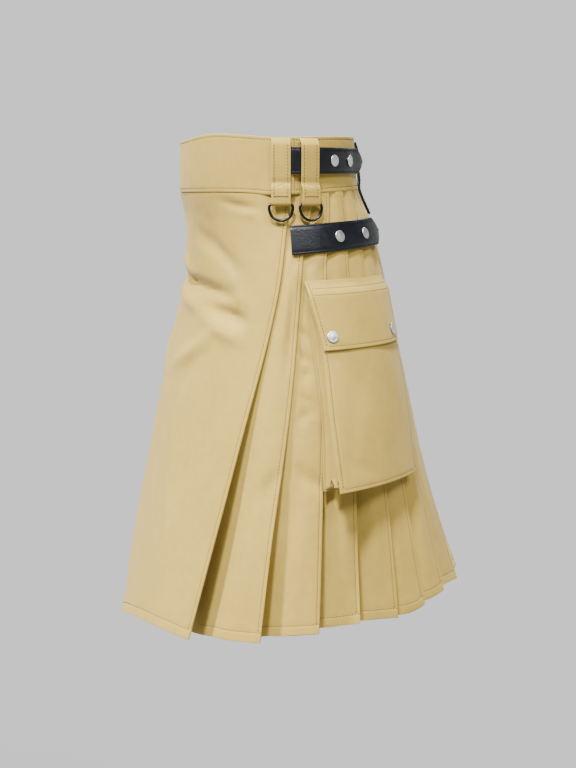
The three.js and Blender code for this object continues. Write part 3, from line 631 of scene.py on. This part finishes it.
def hem_relief(rows, amount=0.18):
    """The turned-up hem is thicker, with a groove where it is sewn."""
    out = amount * smooth(rows, HEM_LINE - 1.5, HEM_LINE + 1.5)
    out[nearest(rows, HEM_LINE)] = -0.12
    return out[:, None]


def puckers(rows, count, seams):
    """Small uneven waves that sewing leaves beside the hem's seam and beside the fold seams."""
    hem = np.exp(-(((rows - LENGTH + HEM_SEAM) / 8) ** 2))[:, None] * (rows < LENGTH - 1)[:, None]
    out = 0.38 * hem * rng.uniform(-1, 1, count)[None]
    for seam in seams:
        wave = 0.22 * rng.uniform(-1, 1, len(rows)) * (rows > SKIRT_TOP + 8)
        out[:, seam - 1] += wave
        out[:, seam + 1] += 0.6 * wave
    return out


def panel_columns(i, own, before, mm):
    """A panel from the bend under the fold before it to its own folded edge. The first one starts
    further under the apron, so that no light shows beside the apron's edge."""
    width = own.turn - before.hidden
    lap = np.maximum(own.hidden, before.turn + 0.2 * (own.turn - before.turn))

    def straight(turn):
        return -before.sink * (1 - (turn - before.hidden) / width)

    under = lerp(-before.sink, straight(before.turn), before.open)
    over = lerp(0, straight(own.hidden), own.open)

    def face(turn):
        deep = lerp(-before.sink, under, (turn - before.hidden) / (before.turn - before.hidden))
        rise = lerp(under, over, smooth((turn - before.turn) / (lap - before.turn), 0, 1))
        top = lerp(over, 0, (turn - lap) / (own.turn - lap))
        out = np.where(turn < before.turn, deep, np.where(turn < lap, rise, top))
        seen = np.clip((turn - before.turn) / (own.turn - before.turn), 0, 1)
        roll = np.sin(math.pi * seen) * (0.4 + 2.2 * own.open) * np.sin(SKIRT_ROWS / 61 + 1.7 * i)
        return (turn, out - roll, own.fall(seen))

    start = before.hidden + (BEND_END if i else -17 * before.open) * mm
    middle = (0.08, 0.18, 0.3, 0.42, 0.54, 0.66, 0.78, 0.89, 1.0)
    turns = [lerp(start, before.turn, s) for s in (0, 0.35, 0.7, 1.0)]
    turns += [lerp(before.turn, own.turn - 8 * mm, s) for s in middle]
    return [face(t) for t in turns + [own.turn - k * mm for k in FOLD_EDGE]]


def fold_columns(own, following, rim, mm):
    """Round the folded edge, back under it, and round the hidden bend to where the next panel starts."""
    none = 0 * SKIRT_ROWS
    lip, start_next = own.turn - LIP * mm, own.hidden + BEND_END * mm

    def under(turn):
        return lerp(LAYER_PITCH - own.sink, -LAYER_PITCH, (turn - own.hidden) / (own.turn - own.hidden))

    fall, next_fall, next_out = own.fall(1.0), none, -own.sink
    back = (lip, under(lip), fall)
    columns = bend(rim, (own.turn, none, fall), (own.turn, none - LAYER_PITCH, fall), back)
    if following:
        next_fall = following.fall(0.0)
        share = (own.turn - own.hidden) / (following.turn - own.hidden)
        tilt = lerp(-own.sink, -own.sink * (1 - share), own.open)
        next_out = lerp(-own.sink, tilt, (start_next - own.hidden) / (own.turn - own.hidden))
    for s in (0, 0.33, 0.67, 1.0):
        turn = lerp(lip, start_next, s)
        columns.append((turn, under(turn), lerp(fall, next_fall, s)))
    return columns + bend(
        columns[-1],
        (own.hidden, LAYER_PITCH - own.sink, next_fall),
        (own.hidden, -own.sink, next_fall),
        (start_next, next_out, next_fall),
    )


def pleats(hand):
    drop = SKIRT_ROWS
    states = [State(f, drop) for f in FOLDS]
    columns, seams = [], []
    for i, (before, own, following) in enumerate(zip(states, states[1:], states[2:] + [None])):
        mm = turn_for(1.0, drop, own.turn)
        columns += panel_columns(i, own, before, mm)
        seams.append(len(columns) - 4)
        columns += fold_columns(own, following, columns[-1], mm)
    last = states[-1]
    first = last.hidden + BEND_END * turn_for(1.0, drop, last.turn)
    back_end = 180 - turn_for(SEAM_GAP / 2, drop, 180)
    for s in (0, 0.2, 0.4, 0.6, 0.8, 0.93, 0.975, 1.0):
        columns.append((lerp(first, back_end, s), -last.sink, 0 * drop))
    turn, out, fall = (np.stack(k, 1) for k in zip(*columns))
    level = drop[:, None]
    press = creases_at(SKIRT_CREASES, level, turn) * np.clip(1 + out / 12, 0.25, 1)
    beside_pocket = 1 - smooth(level, 170, 185) * (1 - smooth(level, 425, 445))
    ridges_kept = np.where((turn > 86) & (turn < 140), beside_pocket, 1.0)
    press = np.where(press > 0, press, press * ridges_kept) * smooth(level, SKIRT_TOP, 90)
    mid = place(skirt_level(level, turn) + fall, turn, out - CLOTH / 2 - press)
    relief = hem_relief(drop) + puckers(drop, mid.shape[1], seams)
    relief[:, seams] -= SEAM_RELIEF
    obj, face = shell("skirt_pleats_" + hand, mid, CLOTH, TWILL, relief=relief)
    for seam in seams:
        sew("stitches_pleats", face[:, 3:-5, seam])
    sew("stitches_pleats", face[:, nearest(drop, HEM_LINE), 2:-3])
    cloth_piece("pleats_" + hand)


def apron():
    drop = np.concatenate([SKIRT_START, spaced(67, 320, 4.2), spaced(326, 590, 6.5), HEM_ROWS])
    edge = State(FOLDS[0], drop).turn
    mm = turn_for(1.0, drop, edge)
    back = edge - APRON_TURN_BACK * mm
    none = 0 * drop
    inside = none - LAYER_PITCH
    facing = [(lerp(back, edge - LIP * mm, s), inside, none) for s in (0, 0.02, 0.05, 0.35, 0.7, 1)]
    front = [(edge - k * mm, none, none) for k in (20, 14, 9, *FOLD_EDGE)]
    lip = bend(front[-1], (edge, none, none), (edge, inside, none), facing[-1])
    side = [(t, o) for t, o, _ in front + lip + facing[::-1]]
    middle = [(lerp(-back, back, s), none) for s in np.linspace(0, 1, 62)[1:-1]]
    columns = [(-t, o) for t, o in side[::-1]] + middle + side
    turn, out = (np.stack(k, 1) for k in zip(*columns))
    level = drop[:, None]
    calm = 1 - smooth((np.abs(turn) - back[:, None] + 14) / 14, 0, 1)
    press = creases_at(APRON_CREASES, level, turn) * calm * smooth(level, SKIRT_TOP, 84)
    mid = place(skirt_level(level, turn) - apron_rise(level, turn), turn, out - CLOTH / 2 - press)
    seams = [len(columns) - len(side) + 4, len(side) - 1 - 4]
    relief = hem_relief(drop) + puckers(drop, mid.shape[1], seams)
    relief[:, seams] -= SEAM_RELIEF
    obj, face = shell("apron", mid, CLOTH, TWILL, relief=relief)
    for seam in seams:
        sew("stitches_apron", face[:, 3:-5, seam])
    sew("stitches_apron", face[:, nearest(drop, HEM_LINE), len(side) - 8 : len(columns) - len(side) + 8])
    make_stitches("stitches_apron", TAN_THREAD_PAINTED_SHADE)
    cloth_piece("apron_outer")


def under_apron():
    drop = np.concatenate([SKIRT_START, spaced(70, 585, 12), [592, 594.8, 595.6, 596]])
    fold = State(FOLDS[0], drop)
    right = (turn_for(SEAM_GAP + 2 * CLOTH, drop, fold.hidden) - fold.hidden)[:, None]
    left = lerp(UNDER_APRON["seam_edge"], UNDER_APRON["hem_edge"], drop / LENGTH)[:, None]
    shares = np.concatenate([[0, 0.002, 0.005], np.linspace(0.02, 0.98, 54), [0.995, 0.998, 1]])
    turn = lerp(right, left, shares)
    level = drop[:, None]
    press = creases_at(APRON_CREASES[:4], level, turn) * smooth(level, SKIRT_TOP, 84)
    from_seam = smooth((turn - right) / 24, 0, 1)
    out = lerp((-fold.sink - CLOTH / 2)[:, None], UNDER_APRON["out"] - press, from_seam)
    level = level - np.maximum(apron_rise(level, turn), 0)
    obj, _ = shell("apron_inside", place(level, turn, out), CLOTH, TWILL)
    cloth_piece("apron_under")


# Waistband

BAND_SEAMS = (3.6, BAND_HEIGHT - 4.2)


def band_rows():
    """Levels on the waistband, close together at its edges and at its seams."""
    seam_half = 0.8
    rows = [0, 0.3, 0.9, *spaced(6, 57, 4.8), 60.9, 62.1, 62.7, BAND_HEIGHT]
    kept = [r for r in rows if all(abs(r - s) > 2.2 * seam_half for s in BAND_SEAMS)]
    return np.array(sorted(kept + [s + k * seam_half for s in BAND_SEAMS for k in (-1, 0, 1)]))


def band(name, node, turns, out_at, inside=False):
    mm = turn_for(1.0, 30.0, turns[0])
    ends = np.array([0, 0.35 * mm, 0.95 * mm])
    turns = np.concatenate([turns[0] + ends, turns[1:-1], turns[-1] - ends[::-1]])
    rows = band_rows()
    drop = rows[:, None]
    ripple = 0.22 * np.sin(turns / 1.9 + 0.6 * np.sin(turns / 7)) * np.sin(math.pi * drop / BAND_HEIGHT)
    mid = place(band_level(drop, turns, 0.0 if inside else 1.0), turns, out_at(turns) + ripple)
    seams = [nearest(rows, seam) for seam in BAND_SEAMS]
    obj, face = shell(name, mid, BAND_WALL, TWILL, relief=pressed(mid, seams, [], 0.3))
    if not inside:
        for seam in seams:
            sew("stitches_band", face[:, seam, 2:-2])
    cloth_piece(node)


def apron_band_out(turn):
    share = smooth(np.abs(turn), APRON_BAND["lap_from"], APRON_BAND["lap_to"])
    return lerp(APRON_BAND["out"], APRON_BAND["lap_out"], share)


def back_band_out(turn):
    return 0 * turn + BACK_BAND["out"]


def under_band_out(turn):
    return 0 * turn + UNDER_BAND["out"]


def waistband():
    end, start = APRON_BAND["end"], BACK_BAND["start"]
    under = spaced(-UNDER_BAND["right_end"], UNDER_BAND["left_end"], 3)
    band("band_apron", "waistband_apron", spaced(-end, end, 1.8), apron_band_out)
    band("band_back", "waistband_back", spaced(start, 360 - start, 1.8), back_band_out)
    band("band_inside", "waistband_under", under, under_band_out, inside=True)
    make_stitches("stitches_band", TAN_THREAD_PAINTED_SHADE)


# Leather


def leather_piece(node):
    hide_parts(node)


def strap_out(strap, turn):
    """The strap follows the cloth, and its loose tip stands a little away from it."""
    lift = strap["lift"] * smooth(turn, strap["end"] - 16, strap["end"] + 2)
    return lerp(strap["out"], strap["far"], smooth(turn, *strap["settle"])) + lift


def strap_drop(strap, turn):
    return lerp(*strap["drops"], (turn - strap["start"]) / (strap["end"] - strap["start"]))


def strap_piece(strap, node, name):
    start, end, half_width = strap["start"], strap["end"], strap["width"] / 2
    mm = float(turn_for(1.0, strap["drops"][1], end))
    tip = STRAP_TIP["length"] * mm
    turns = np.concatenate([
        [start, start + 0.2, start + 0.5],
        spaced(start + 1.2, end - tip, 1.0)[:-1],
        end - tip * (1 - np.linspace(0, 0.92, 10)),
        [end - 0.8 * mm, end - 0.3 * mm, end],
    ])
    into = np.clip((turns - (end - tip)) / tip, 0, 1)
    half = half_width * (1 - STRAP_TIP["narrow"] * into**1.15)
    seam = 1 - STRAP_SEAM / half_width
    lines = np.array([0.3, 0.6, seam - 0.04, seam, seam + 0.04, 0.94, 0.985, 1])
    lines = np.concatenate([-lines[::-1], [0], lines])[:, None]
    low, high = 4, 12
    mid = place(strap_drop(strap, turns) + lines * half, turns, strap_out(strap, turns))
    relief = 0.5 * (1 - lines**2) + 0 * turns
    relief[[low, high]] -= 0.35
    obj, face = shell(name, mid, LEATHER, HIDE, relief=relief, sharp=50)
    leather_piece(node)
    group, stop = "stitches_" + name.rsplit("_", 1)[0], len(turns) - 4
    for line in (face[:, low, 3:stop], face[:, high, 3:stop], face[:, low : high + 1, stop]):
        sew(group, line, **LEATHER_STITCH)


def back_loop(hand):
    b = BACK_LOOP
    half = float(turn_for(b["width"] / 2, BAND_HEIGHT, b["turn"]))
    starts, ends = b["top"] + np.array([0, 0.4, 1.1]), [b["bottom"] - 0.4, b["bottom"]]
    drops = np.concatenate([starts, spaced(4, 96, 2.6), ends])
    shares = np.array([0.4, 0.72, 0.78, 0.84, 0.9, 0.97, 1])
    shares = np.concatenate([-shares[::-1], [0], shares])
    out = b["out"] + b["stand"] * smooth(drops, 2, 14) * (1 - smooth(drops, 50, 64))
    mid = place(drops[:, None], b["turn"] + shares * half, out[:, None])
    seams = [4, 10]
    relief = pressed(mid, [], seams, 0.3)
    name = "leather_loop_" + hand
    obj, face = shell(name, mid, LEATHER - 0.2, HIDE, relief=relief, sharp=50)
    leather_piece("back_loop_" + hand)
    for seam in seams:
        sew("stitches_leather_loop", face[:, 2:-2, seam], **LEATHER_STITCH)
    make_stitches("stitches_leather_loop", BLACK_THREAD, "stitches_" + name)


def lathe(name, profile, point, direction, mat, sides=32):
    """The profile of (radius, height) turned round the direction at the point."""
    z = Vector(direction).normalized()
    x = z.orthogonal().normalized()
    y = z.cross(x)
    points, index = [], []
    for radius, height in profile:
        centre = Vector(point) + z * height
        count = sides if radius else 1
        index.append(list(range(len(points), len(points) + count)) * (sides // count))
        for a in 2 * math.pi / sides * np.arange(count):
            points.append(centre + (x * math.cos(a) + y * math.sin(a)) * radius)
    quads, tris = [], []
    for low, high in zip(index, index[1:]):
        for k in range(sides):
            m = (k + 1) % sides
            if low[0] == low[1]:
                tris.append([low[k], high[m], high[k]])
            elif high[0] == high[1]:
                tris.append([low[k], low[m], high[k]])
            else:
                quads.append([low[k], low[m], high[m], high[k]])
    faces = [np.array(f) for f in (quads, tris) if f]
    return make_mesh(name, [tuple(p) for p in points], faces, mat, sharp=35)


# Profiles as (radius, height)
STUD_CAP = [
    (0, 0.5), (6.5, 0.5), (7.1, 0.75), (7.3, 1.15), (7.0, 1.5),
    (5.6, 1.8), (4.9, 1.65), (4.3, 1.75), (2.4, 2.0), (0, 2.1),
]
STUD_RING = [(6.4, 0.0), (7.5, 0.0), (7.7, 0.25), (7.5, 0.5), (7.0, 0.65), (6.4, 0.5), (6.4, 0.0)]


def stud(node, name, at):
    """A cap in its pressed ring, on the surface at(turn offset, drop offset)."""
    p = at(0, 0)
    n = unit(np.cross(at(0, 1) - at(0, -1), at(1, 0) - at(-1, 0)))
    cap = lathe(name, STUD_CAP, p + n * 0.1, n, NICKEL)
    # The ring peeks out round the cap as a thin near-black outline: painted shade.
    rim = lathe(name + "_ring", STUD_RING, p + n * 0.05, n, RIVET_RIM_PAINTED_SHADE)
    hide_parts(node)


def strap_stud(strap, turn, node, name):
    def at(dt, dd):
        t = turn + dt
        return place(strap_drop(strap, t) + dd, t, strap_out(strap, t) + LEATHER / 2 + 0.5)

    stud(node, name, at)


def leather_goods(hand):
    for kind, strap in (("waist", WAIST_STRAP), ("hip", HIP_STRAP)):
        name = f"{kind}_strap_{hand}"
        strap_piece(strap, f"strap_{kind}_{hand}", name)
        make_stitches(f"stitches_{kind}_strap", BLACK_THREAD, "stitches_" + name)
        for i, turn in enumerate(strap["studs"], 1):
            node, name = f"stud_{kind}_{hand}_{i}", f"{kind}_stud_{hand}_{i}"
            strap_stud(strap, turn, node, name)
    back_loop(hand)


# Belt loops and D-rings


def loop_frame(turn):
    """A point on the waistband, the direction out of it and the direction round it."""
    origin = place(BAND_HEIGHT / 2, turn)
    a = place(BAND_HEIGHT / 2, turn, 1.0) - origin
    return origin, a, np.array([-a[1], a[0], 0.0])


def ring_frame(turn):
    """The middle of the ring's bar, the bar's direction and the direction in which the ring hangs."""
    origin, _, side = loop_frame(turn)
    bar = place(RING["bar_drop"], turn, RING["bar_out"])
    bar = bar + side * np.dot(origin - bar, side)
    down = place(RING["bar_drop"] + RING["height"], turn, RING["foot_out"]) - bar
    return bar, side, unit(down - side * np.dot(down, side))


def ring_path():
    """The middle line of the ring's wire, round from one end of its straight bar, with soft corners."""
    straight, shoulder = LOOP["width"] / 2 + 1.4, 2.2
    path = [(x, 0.0) for x in np.linspace(-straight, straight, 9)]
    for a in np.linspace(0, math.pi, 40):
        fall = shoulder + (RING["height"] - shoulder) * max(math.sin(a), 0) ** 0.8
        path.append((RING["half"] * math.cos(a), fall))
    path = np.array(path)
    bar = path[2:7].copy()
    for _ in range(3):
        path = 0.5 * path + 0.25 * (np.roll(path, 1, 0) + np.roll(path, -1, 0))
        path[2:7] = bar
    return path


def d_ring(node, name, turn):
    bar, side, down = ring_frame(turn)
    normal = np.cross(side, down)
    path = ring_path()
    centre = bar + path[:, :1] * side + path[:, 1:] * down
    across = np.cross(unit(np.roll(centre, -1, 0) - np.roll(centre, 1, 0)), normal)
    sides, count = 14, len(centre)
    a = (2 * math.pi / sides * np.arange(sides))[None, :, None]
    points = centre[:, None] + RING["wire"] * (np.cos(a) * across[:, None] + np.sin(a) * normal)
    i, k = np.meshgrid(np.arange(count), np.arange(sides), indexing="ij")
    j, m = (i + 1) % count, (k + 1) % sides
    quads = np.stack([i * sides + k, i * sides + m, j * sides + m, j * sides + k], -1).reshape(-1, 4)
    points = points.reshape(-1, 3)
    obj = make_mesh(name, points, [quads], DARK_METAL, body=node, sharp=180)
    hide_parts(node)


def loop_path(turn, band_out, strip):
    """The loop's middle line as (out, drop): down over the strap, round the bar and up behind."""
    origin, normal, _ = loop_frame(turn)

    def out_of(p):
        return float(np.dot(p - origin, normal))

    def on_band(d):
        return out_of(place(d, turn, band_out + BAND_WALL / 2)) + SEAM_GAP + strip / 2

    bar_out = out_of(ring_frame(turn)[0])
    eye = RING["wire"] + RING_CLEARANCE + strip / 2
    strap_face = out_of(place(BAND_HEIGHT / 2, turn, WAIST_STRAP["out"] + LEATHER / 2))
    over = strap_face + SEAM_GAP + 0.4 + strip / 2
    front = max(bar_out + eye, over - 1.2)
    top, tack = LOOP["top"], LOOP["tack"]
    key = [
        (on_band(top), top),
        (lerp(on_band(top), over, 0.55), 4.5),
        (over, 9.5),
        (over + 0.4, 28),
        (over, LOOP["over_to"] - 1),
        (over - 0.6, tack - 1),
        (front - 0.7, tack + 4),
        (front, 72),
    ]
    for a in np.linspace(0, math.pi, 11):
        key.append((bar_out + eye * math.cos(a), RING["bar_drop"] + eye * math.sin(a)))
    band_end = BAND_HEIGHT + float(through(*BAND_BOTTOM, abs(turn))) + 0.8
    key += [(on_band(band_end), band_end + 2), (on_band(band_end), band_end - 1)]
    key.append((min(on_band(BAND_HEIGHT), over - strip - 0.4), tack + 1))
    return np.array(key)


def bartacks(group, base, normal, side, line, strip):
    """Two bartacks across the loop: an arched one, and a nearly straight one below it."""
    front = line[: np.argmax(line[:, 1] > 80)]
    x = np.linspace(-1, 1, 13)
    for width, arch, low in ((6.5, 3.4, LOOP["tack"] + 4), (10.5, 0.6, LOOP["tack"] + 15.5)):
        levels = (low - arch * (1 - x**2))[:, None]
        out = np.interp(levels, front[:, 1], front[:, 0]) + strip / 2
        row = base + out * normal + (width * x)[:, None] * side - levels * UP
        sew(group, (row, normal + 0 * row), pitch=1.7, length=2.0, radius=0.5)


def belt_loop(node, name, turn, band_out, place_word):
    origin, normal, side = loop_frame(turn)
    strip = LOOP["strip"] - 0.2
    path = loop_path(turn, band_out, strip)
    along = np.concatenate([[0], np.cumsum(np.linalg.norm(np.diff(path, axis=0), axis=1))])
    edge = np.array([0, 0.4, 1.1])
    fine = np.concatenate([edge, spaced(2.5, along[-1] - 2.5, 1.6), along[-1] - edge[::-1]])
    line = np.stack([through(along, path[:, k], fine) for k in (0, 1)], 1)
    half = LOOP["width"] / 2
    across = np.array([4, 7.7, 8.5, 9.3, half - 1.0, half - 0.35, half])
    across = np.concatenate([-across[::-1], [0], across])
    base = origin + RIM_Z * UP
    centre = base + line[:, :1] * normal - line[:, 1:] * UP
    mid = centre[:, None] + across[None, :, None] * side
    seams = [4, 10]
    relief = pressed(mid, [], seams, 0.25)
    obj, face = shell(name, mid, strip, TWILL, relief=relief)
    group = "stitches_loop_" + place_word
    top, low = np.argmax(line[:, 1] > 6), np.argmax(line[:, 1] > 78)
    for seam in seams:
        sew(group, face[:, top:low, seam])
    bartacks(group, base, normal, side, line, strip)
    cloth_piece(node)


def loops_and_rings(hand):
    for where, turn in LOOP_TURNS.items():
        on_apron = turn < APRON_BAND["end"]
        band_out = float(apron_band_out(turn) if on_apron else back_band_out(turn))
        word = f"{hand}_{where}"
        belt_loop("loop_" + word, "belt_loop_" + word, turn, band_out, where)
        make_stitches("stitches_loop_" + where, TAN_THREAD_PAINTED_SHADE, "stitches_loop_" + word)
        d_ring("ring_" + word, "d_ring_" + word, turn)


# Pockets


def pocket_turn(drop, share, depth=1.0):
    """Turn at a share of the way along the pocket. The depth is 0 on its back and 1 on its front."""
    seam, front, rear = (through(POCKET_EDGES[:, 0], POCKET_EDGES[:, k], drop) for k in (1, 2, 3))
    return lerp(lerp(seam, front, depth), rear, share)


def pocket_share(drop, length):
    """The share of the pocket's width that a length takes."""
    width = pocket_turn(drop, 1.0) - pocket_turn(drop, 0.0)
    return turn_for(length, drop, pocket_turn(drop, 0.5)) / width


def pocket_stand(drop, share):
    """How far the pocket's front panel stands out."""
    down = np.clip((drop - FLAP["top"]) / (POCKET_BOTTOM - FLAP["top"]), 0, 1)
    front = lerp(*POCKET_STAND["front"], down)
    rear = lerp(*POCKET_STAND["rear"], down)
    belly = POCKET_STAND["belly"] * np.sin(math.pi * down) * np.sin(math.pi * np.clip(share, 0, 1))
    return lerp(front, rear, share) + belly


def edge_columns(drop, seams=()):
    """Shares from one side edge to the other, close together at the edges and seams, a row per level."""
    unit_share = pocket_share(drop, 1.0)[:, None]
    fixed = np.array(sorted([0, 0.4, 1.1] + [s + k for s in seams for k in SEAM_STEPS]))
    inner = (fixed[-1] + 4) * unit_share
    middle = lerp(inner, 1 - inner, np.linspace(0, 1, 18))
    shares = np.concatenate([fixed * unit_share, middle, 1 - fixed[::-1] * unit_share], 1)
    marks = [nearest(fixed, s) for s in seams]
    return shares, marks + [shares.shape[1] - 1 - m for m in marks]


def pocket(hand):
    seam_line = POCKET_BOTTOM - POCKET_SEAM
    drop = np.concatenate([
        POCKET_TOP + np.array([0, 0.4, 1.1]),
        spaced(200, POCKET_BOTTOM - 9, 5),
        seam_line + SEAM_STEPS,
        POCKET_BOTTOM - np.array([2.5, 1.1, 0.4, 0]),
    ])
    shares, marks = edge_columns(drop, [POCKET_SEAM])
    level = drop[:, None]
    turn = pocket_turn(level, shares)
    calm = smooth(shares, 0, 0.12) * (1 - smooth(shares, 0.88, 1)) * (1 - smooth(level, 412, 430))
    press = creases_at(POCKET_CREASES, level, turn) * calm
    mid = place(level, turn, pocket_stand(level, shares) - press)
    low = nearest(drop, seam_line)
    relief = pressed(mid, [low], marks)
    front, face = shell("pocket_panel_" + hand, mid, CLOTH, TWILL, relief=relief)
    lines = [face[:, 8 : low + 1, m] for m in marks] + [face[:, low, marks[0] : marks[1] + 1]]
    for line in lines:
        sew("stitches_pocket", line)
    cloth_piece("pocket_front_" + hand)

    top, bottom = [POCKET_TOP, POCKET_TOP + 0.4], [POCKET_BOTTOM - 0.4, POCKET_BOTTOM]
    drop = np.concatenate([top, spaced(200, POCKET_BOTTOM - 3, 9), bottom])
    shares, _ = edge_columns(drop)
    mid = place(drop[:, None], pocket_turn(drop[:, None], shares, 0.0), POCKET_BACK_OUT)
    back, _ = shell("pocket_lining_" + hand, mid, CLOTH, TWILL)
    cloth_piece("pocket_back_" + hand)
    gusset(hand)
    flap(hand)


# The gusset's fold from the back panel to the front panel: shares of the depth and of the tuck
GUSSET_FOLD = [[0, 0.26, 0.5, 0.74, 1], [0, 1, 0.22, 1, 0]]
GUSSET_DEPTHS = np.array([
    0, 0.05, 0.11, 0.18, 0.24, 0.28, 0.33, 0.4, 0.46, 0.5, 0.54, 0.6, 0.67, 0.72, 0.76, 0.82, 0.89, 0.95, 1
])


def gusset(hand):
    inset = 2.4
    bottom = POCKET_BOTTOM - inset
    down = [*spaced(POCKET_TOP, bottom - 12, 6.5), bottom - 8, bottom - 4, bottom - 1.6]
    # The path down one side, along the bottom and up the other: drop, share, then how much of the
    # tuck goes down (below zero it goes up) and how much of it goes along.
    path = [(d, 0.0, 0.0, 1.0) for d in down]
    path += [(bottom - 0.4, 0.0, -0.4, 0.9), (bottom, 0.012, -0.9, 0.5)]
    path += [(bottom, s, -1.0, 0.0) for s in np.linspace(0.04, 0.96, 26)]
    path += [(bottom, 0.988, -0.9, 0.5), (bottom - 0.4, 1.0, -0.4, 0.9)]
    path += [(d, 1.0, 0.0, 1.0) for d in down[::-1]]
    level, along, up, aside = np.array(path).T[..., None]
    reach = lerp(6.0, GUSSET_TUCK, smooth(level, 240, 420))
    tuck = reach * np.interp(GUSSET_DEPTHS, *GUSSET_FOLD) + CLOTH / 2
    drop = level + up * tuck
    toward = np.where(along < 0.5, 1.0, -1.0)
    share = along + pocket_share(level, 1.0) * toward * aside * (inset * (aside > 0) + tuck)
    low = POCKET_BACK_OUT + CLOTH / 2 + 2 * SEAM_GAP
    high = pocket_stand(drop, share) - CLOTH / 2 - 2 * SEAM_GAP
    mid = place(drop, pocket_turn(drop, share, GUSSET_DEPTHS), lerp(low, high, GUSSET_DEPTHS))
    name, rests_on = "pocket_bellows_" + hand, ["pocket_back_" + hand]
    obj, _ = shell(name, mid[:, ::-1], CLOTH * 0.9, TWILL, sharp=60)
    cloth_piece("pocket_gusset_" + hand)


def flap_place(drop, share, lift=0.0):
    """A point of the flap's middle. Its lower part rests on the pocket's front."""
    width = pocket_turn(drop, 1.0) - pocket_turn(drop, 0.0)
    margin = turn_for(FLAP["inset"], drop, 110) / width
    down = np.clip((drop - FLAP["top"]) / (FLAP["bottom"] - FLAP["top"]), 0, 1)
    resting = pocket_stand(drop, share) + CLOTH / 2 + SEAM_GAP + FLAP["wall"] / 2 + 0.3
    out = lerp(1.2, resting, smooth(down, 0, 0.22)) + FLAP["sag"] * 0.2 * down
    return place(drop, pocket_turn(drop, lerp(margin, 1 - margin, share)), out + lift)


def flap_stud(hand, i, share):
    def at(dt, dd):
        return flap_place(FLAP_STUDS["drop"] + float(dd), share + dt / 60, FLAP["wall"] / 2 + 0.35)

    stud(f"stud_flap_{hand}_{i}", f"flap_stud_{hand}_{i}", at)


def flap(hand):
    top, bottom = FLAP["top"], FLAP["bottom"]
    seam_lines = [top + 10.0, top + 17.5, bottom - POCKET_SEAM]
    drop = np.concatenate([
        top + np.array([0, 0.4, 1.1, 4, 7]),
        seam_lines[0] + SEAM_STEPS,
        seam_lines[1] + SEAM_STEPS,
        spaced(top + 22, bottom - 9, 4),
        seam_lines[2] + SEAM_STEPS,
        bottom - np.array([2.4, 1.1, 0.4, 0]),
    ])
    shares, marks = edge_columns(drop, [POCKET_SEAM])
    level = drop[:, None]
    ripple = 0.7 * np.sin(shares * 9 + 1.1) * smooth(level, top + 20, bottom)
    dimples = 0
    for share in FLAP_STUDS["shares"]:
        away = ((shares - share) * 137) ** 2 + (level - FLAP_STUDS["drop"]) ** 2
        dimples = dimples + 1.3 * np.exp(-away / 160)
    mid = flap_place(level, shares, ripple * (1 - np.clip(dimples, 0, 1)) + 0.35)
    seams = [nearest(drop, line) for line in seam_lines]
    name, relief = "pocket_flap_piece_" + hand, pressed(mid, seams, marks)
    obj, face = shell(name, mid, FLAP["wall"], TWILL, relief=relief)
    lines = [face[:, row, marks[0] : marks[1] + 1] for row in seams]
    for line in lines + [face[:, 2 : seams[-1] + 1, m] for m in marks]:
        sew("stitches_pocket", line)
    cloth_piece("pocket_flap_" + hand)
    for i, share in enumerate(FLAP_STUDS["shares"], 1):
        flap_stud(hand, i, share)


# Assembly


def kilt():
    apron()
    under_apron()
    waistband()
    for hand in ("left", "right"):
        pleats(hand)
        make_stitches("stitches_pleats", TAN_THREAD_PAINTED_SHADE, "stitches_pleats_" + hand)
        leather_goods(hand)
        loops_and_rings(hand)
        pocket(hand)
        make_stitches("stitches_pocket", TAN_THREAD_PAINTED_SHADE, "stitches_pocket_" + hand)


# Studio


def aim(obj, azimuth, elevation, distance, target=(0, 0, 0)):
    """Puts a light or the camera at an azimuth and elevation, turned to the target."""
    a, e = math.radians(azimuth), math.radians(elevation)
    back = Vector((math.sin(a) * math.cos(e), -math.cos(a) * math.cos(e), math.sin(e)))
    obj.location = Vector(target) + back * distance
    obj.rotation_euler = (-back).to_track_quat("-Z", "Y").to_euler()


def sun(name, azimuth, elevation, softness, strength):
    light = bpy.data.lights.new(name, "SUN")
    light.angle = math.radians(softness)
    light.energy = strength
    aim(add_object(name, light), azimuth, elevation, 3)


def floor():
    mat, tree, bsdf = nodes_of("paper")
    set_inputs(tree, bsdf, {"Base Color": (0.14, 0.14, 0.14, 1), "Roughness": 1.0, "Specular IOR Level": 0.0})
    z, size = -1.1, 60.0
    mesh = bpy.data.meshes.new("floor")
    corners = [(-size, -size, z), (size, -size, z), (size, size, z), (-size, size, z)]
    mesh.from_pydata(corners, [], [(0, 1, 2, 3)])
    mesh.materials.append(mat)
    add_object("floor", mesh)


def studio():
    floor()
    world = bpy.data.worlds.new("studio")
    bpy.context.scene.world = world
    world.use_nodes = True
    tree = world.node_tree
    height = split_axes(tree, tree.nodes.new("ShaderNodeTexCoord").outputs["Generated"])["Z"]
    pale = ramp(tree, height, (0.0, 0.95), (0.1, 0.95), (0.24, 0.12))
    set_inputs(tree, tree.nodes["Background"], {"Color": pale})
    sun("key", 3, 51, 6, 9.2)
    sun("top", 56, 62, 9, 10.2)
    sun("fill", 112, 50, 20, 3.6)
    sun("rim", 240, 40, 24, 3.4)


def camera():
    data = bpy.data.cameras.new("camera")
    data.sensor_width = 36
    data.lens = 1780 / 768 * 36
    data.clip_end = 100
    obj = add_object("camera", data)
    aim(obj, 75, 6.4, 2.4, (0, 0.025, -0.294))
    bpy.context.scene.camera = obj


kilt()
studio()
camera()
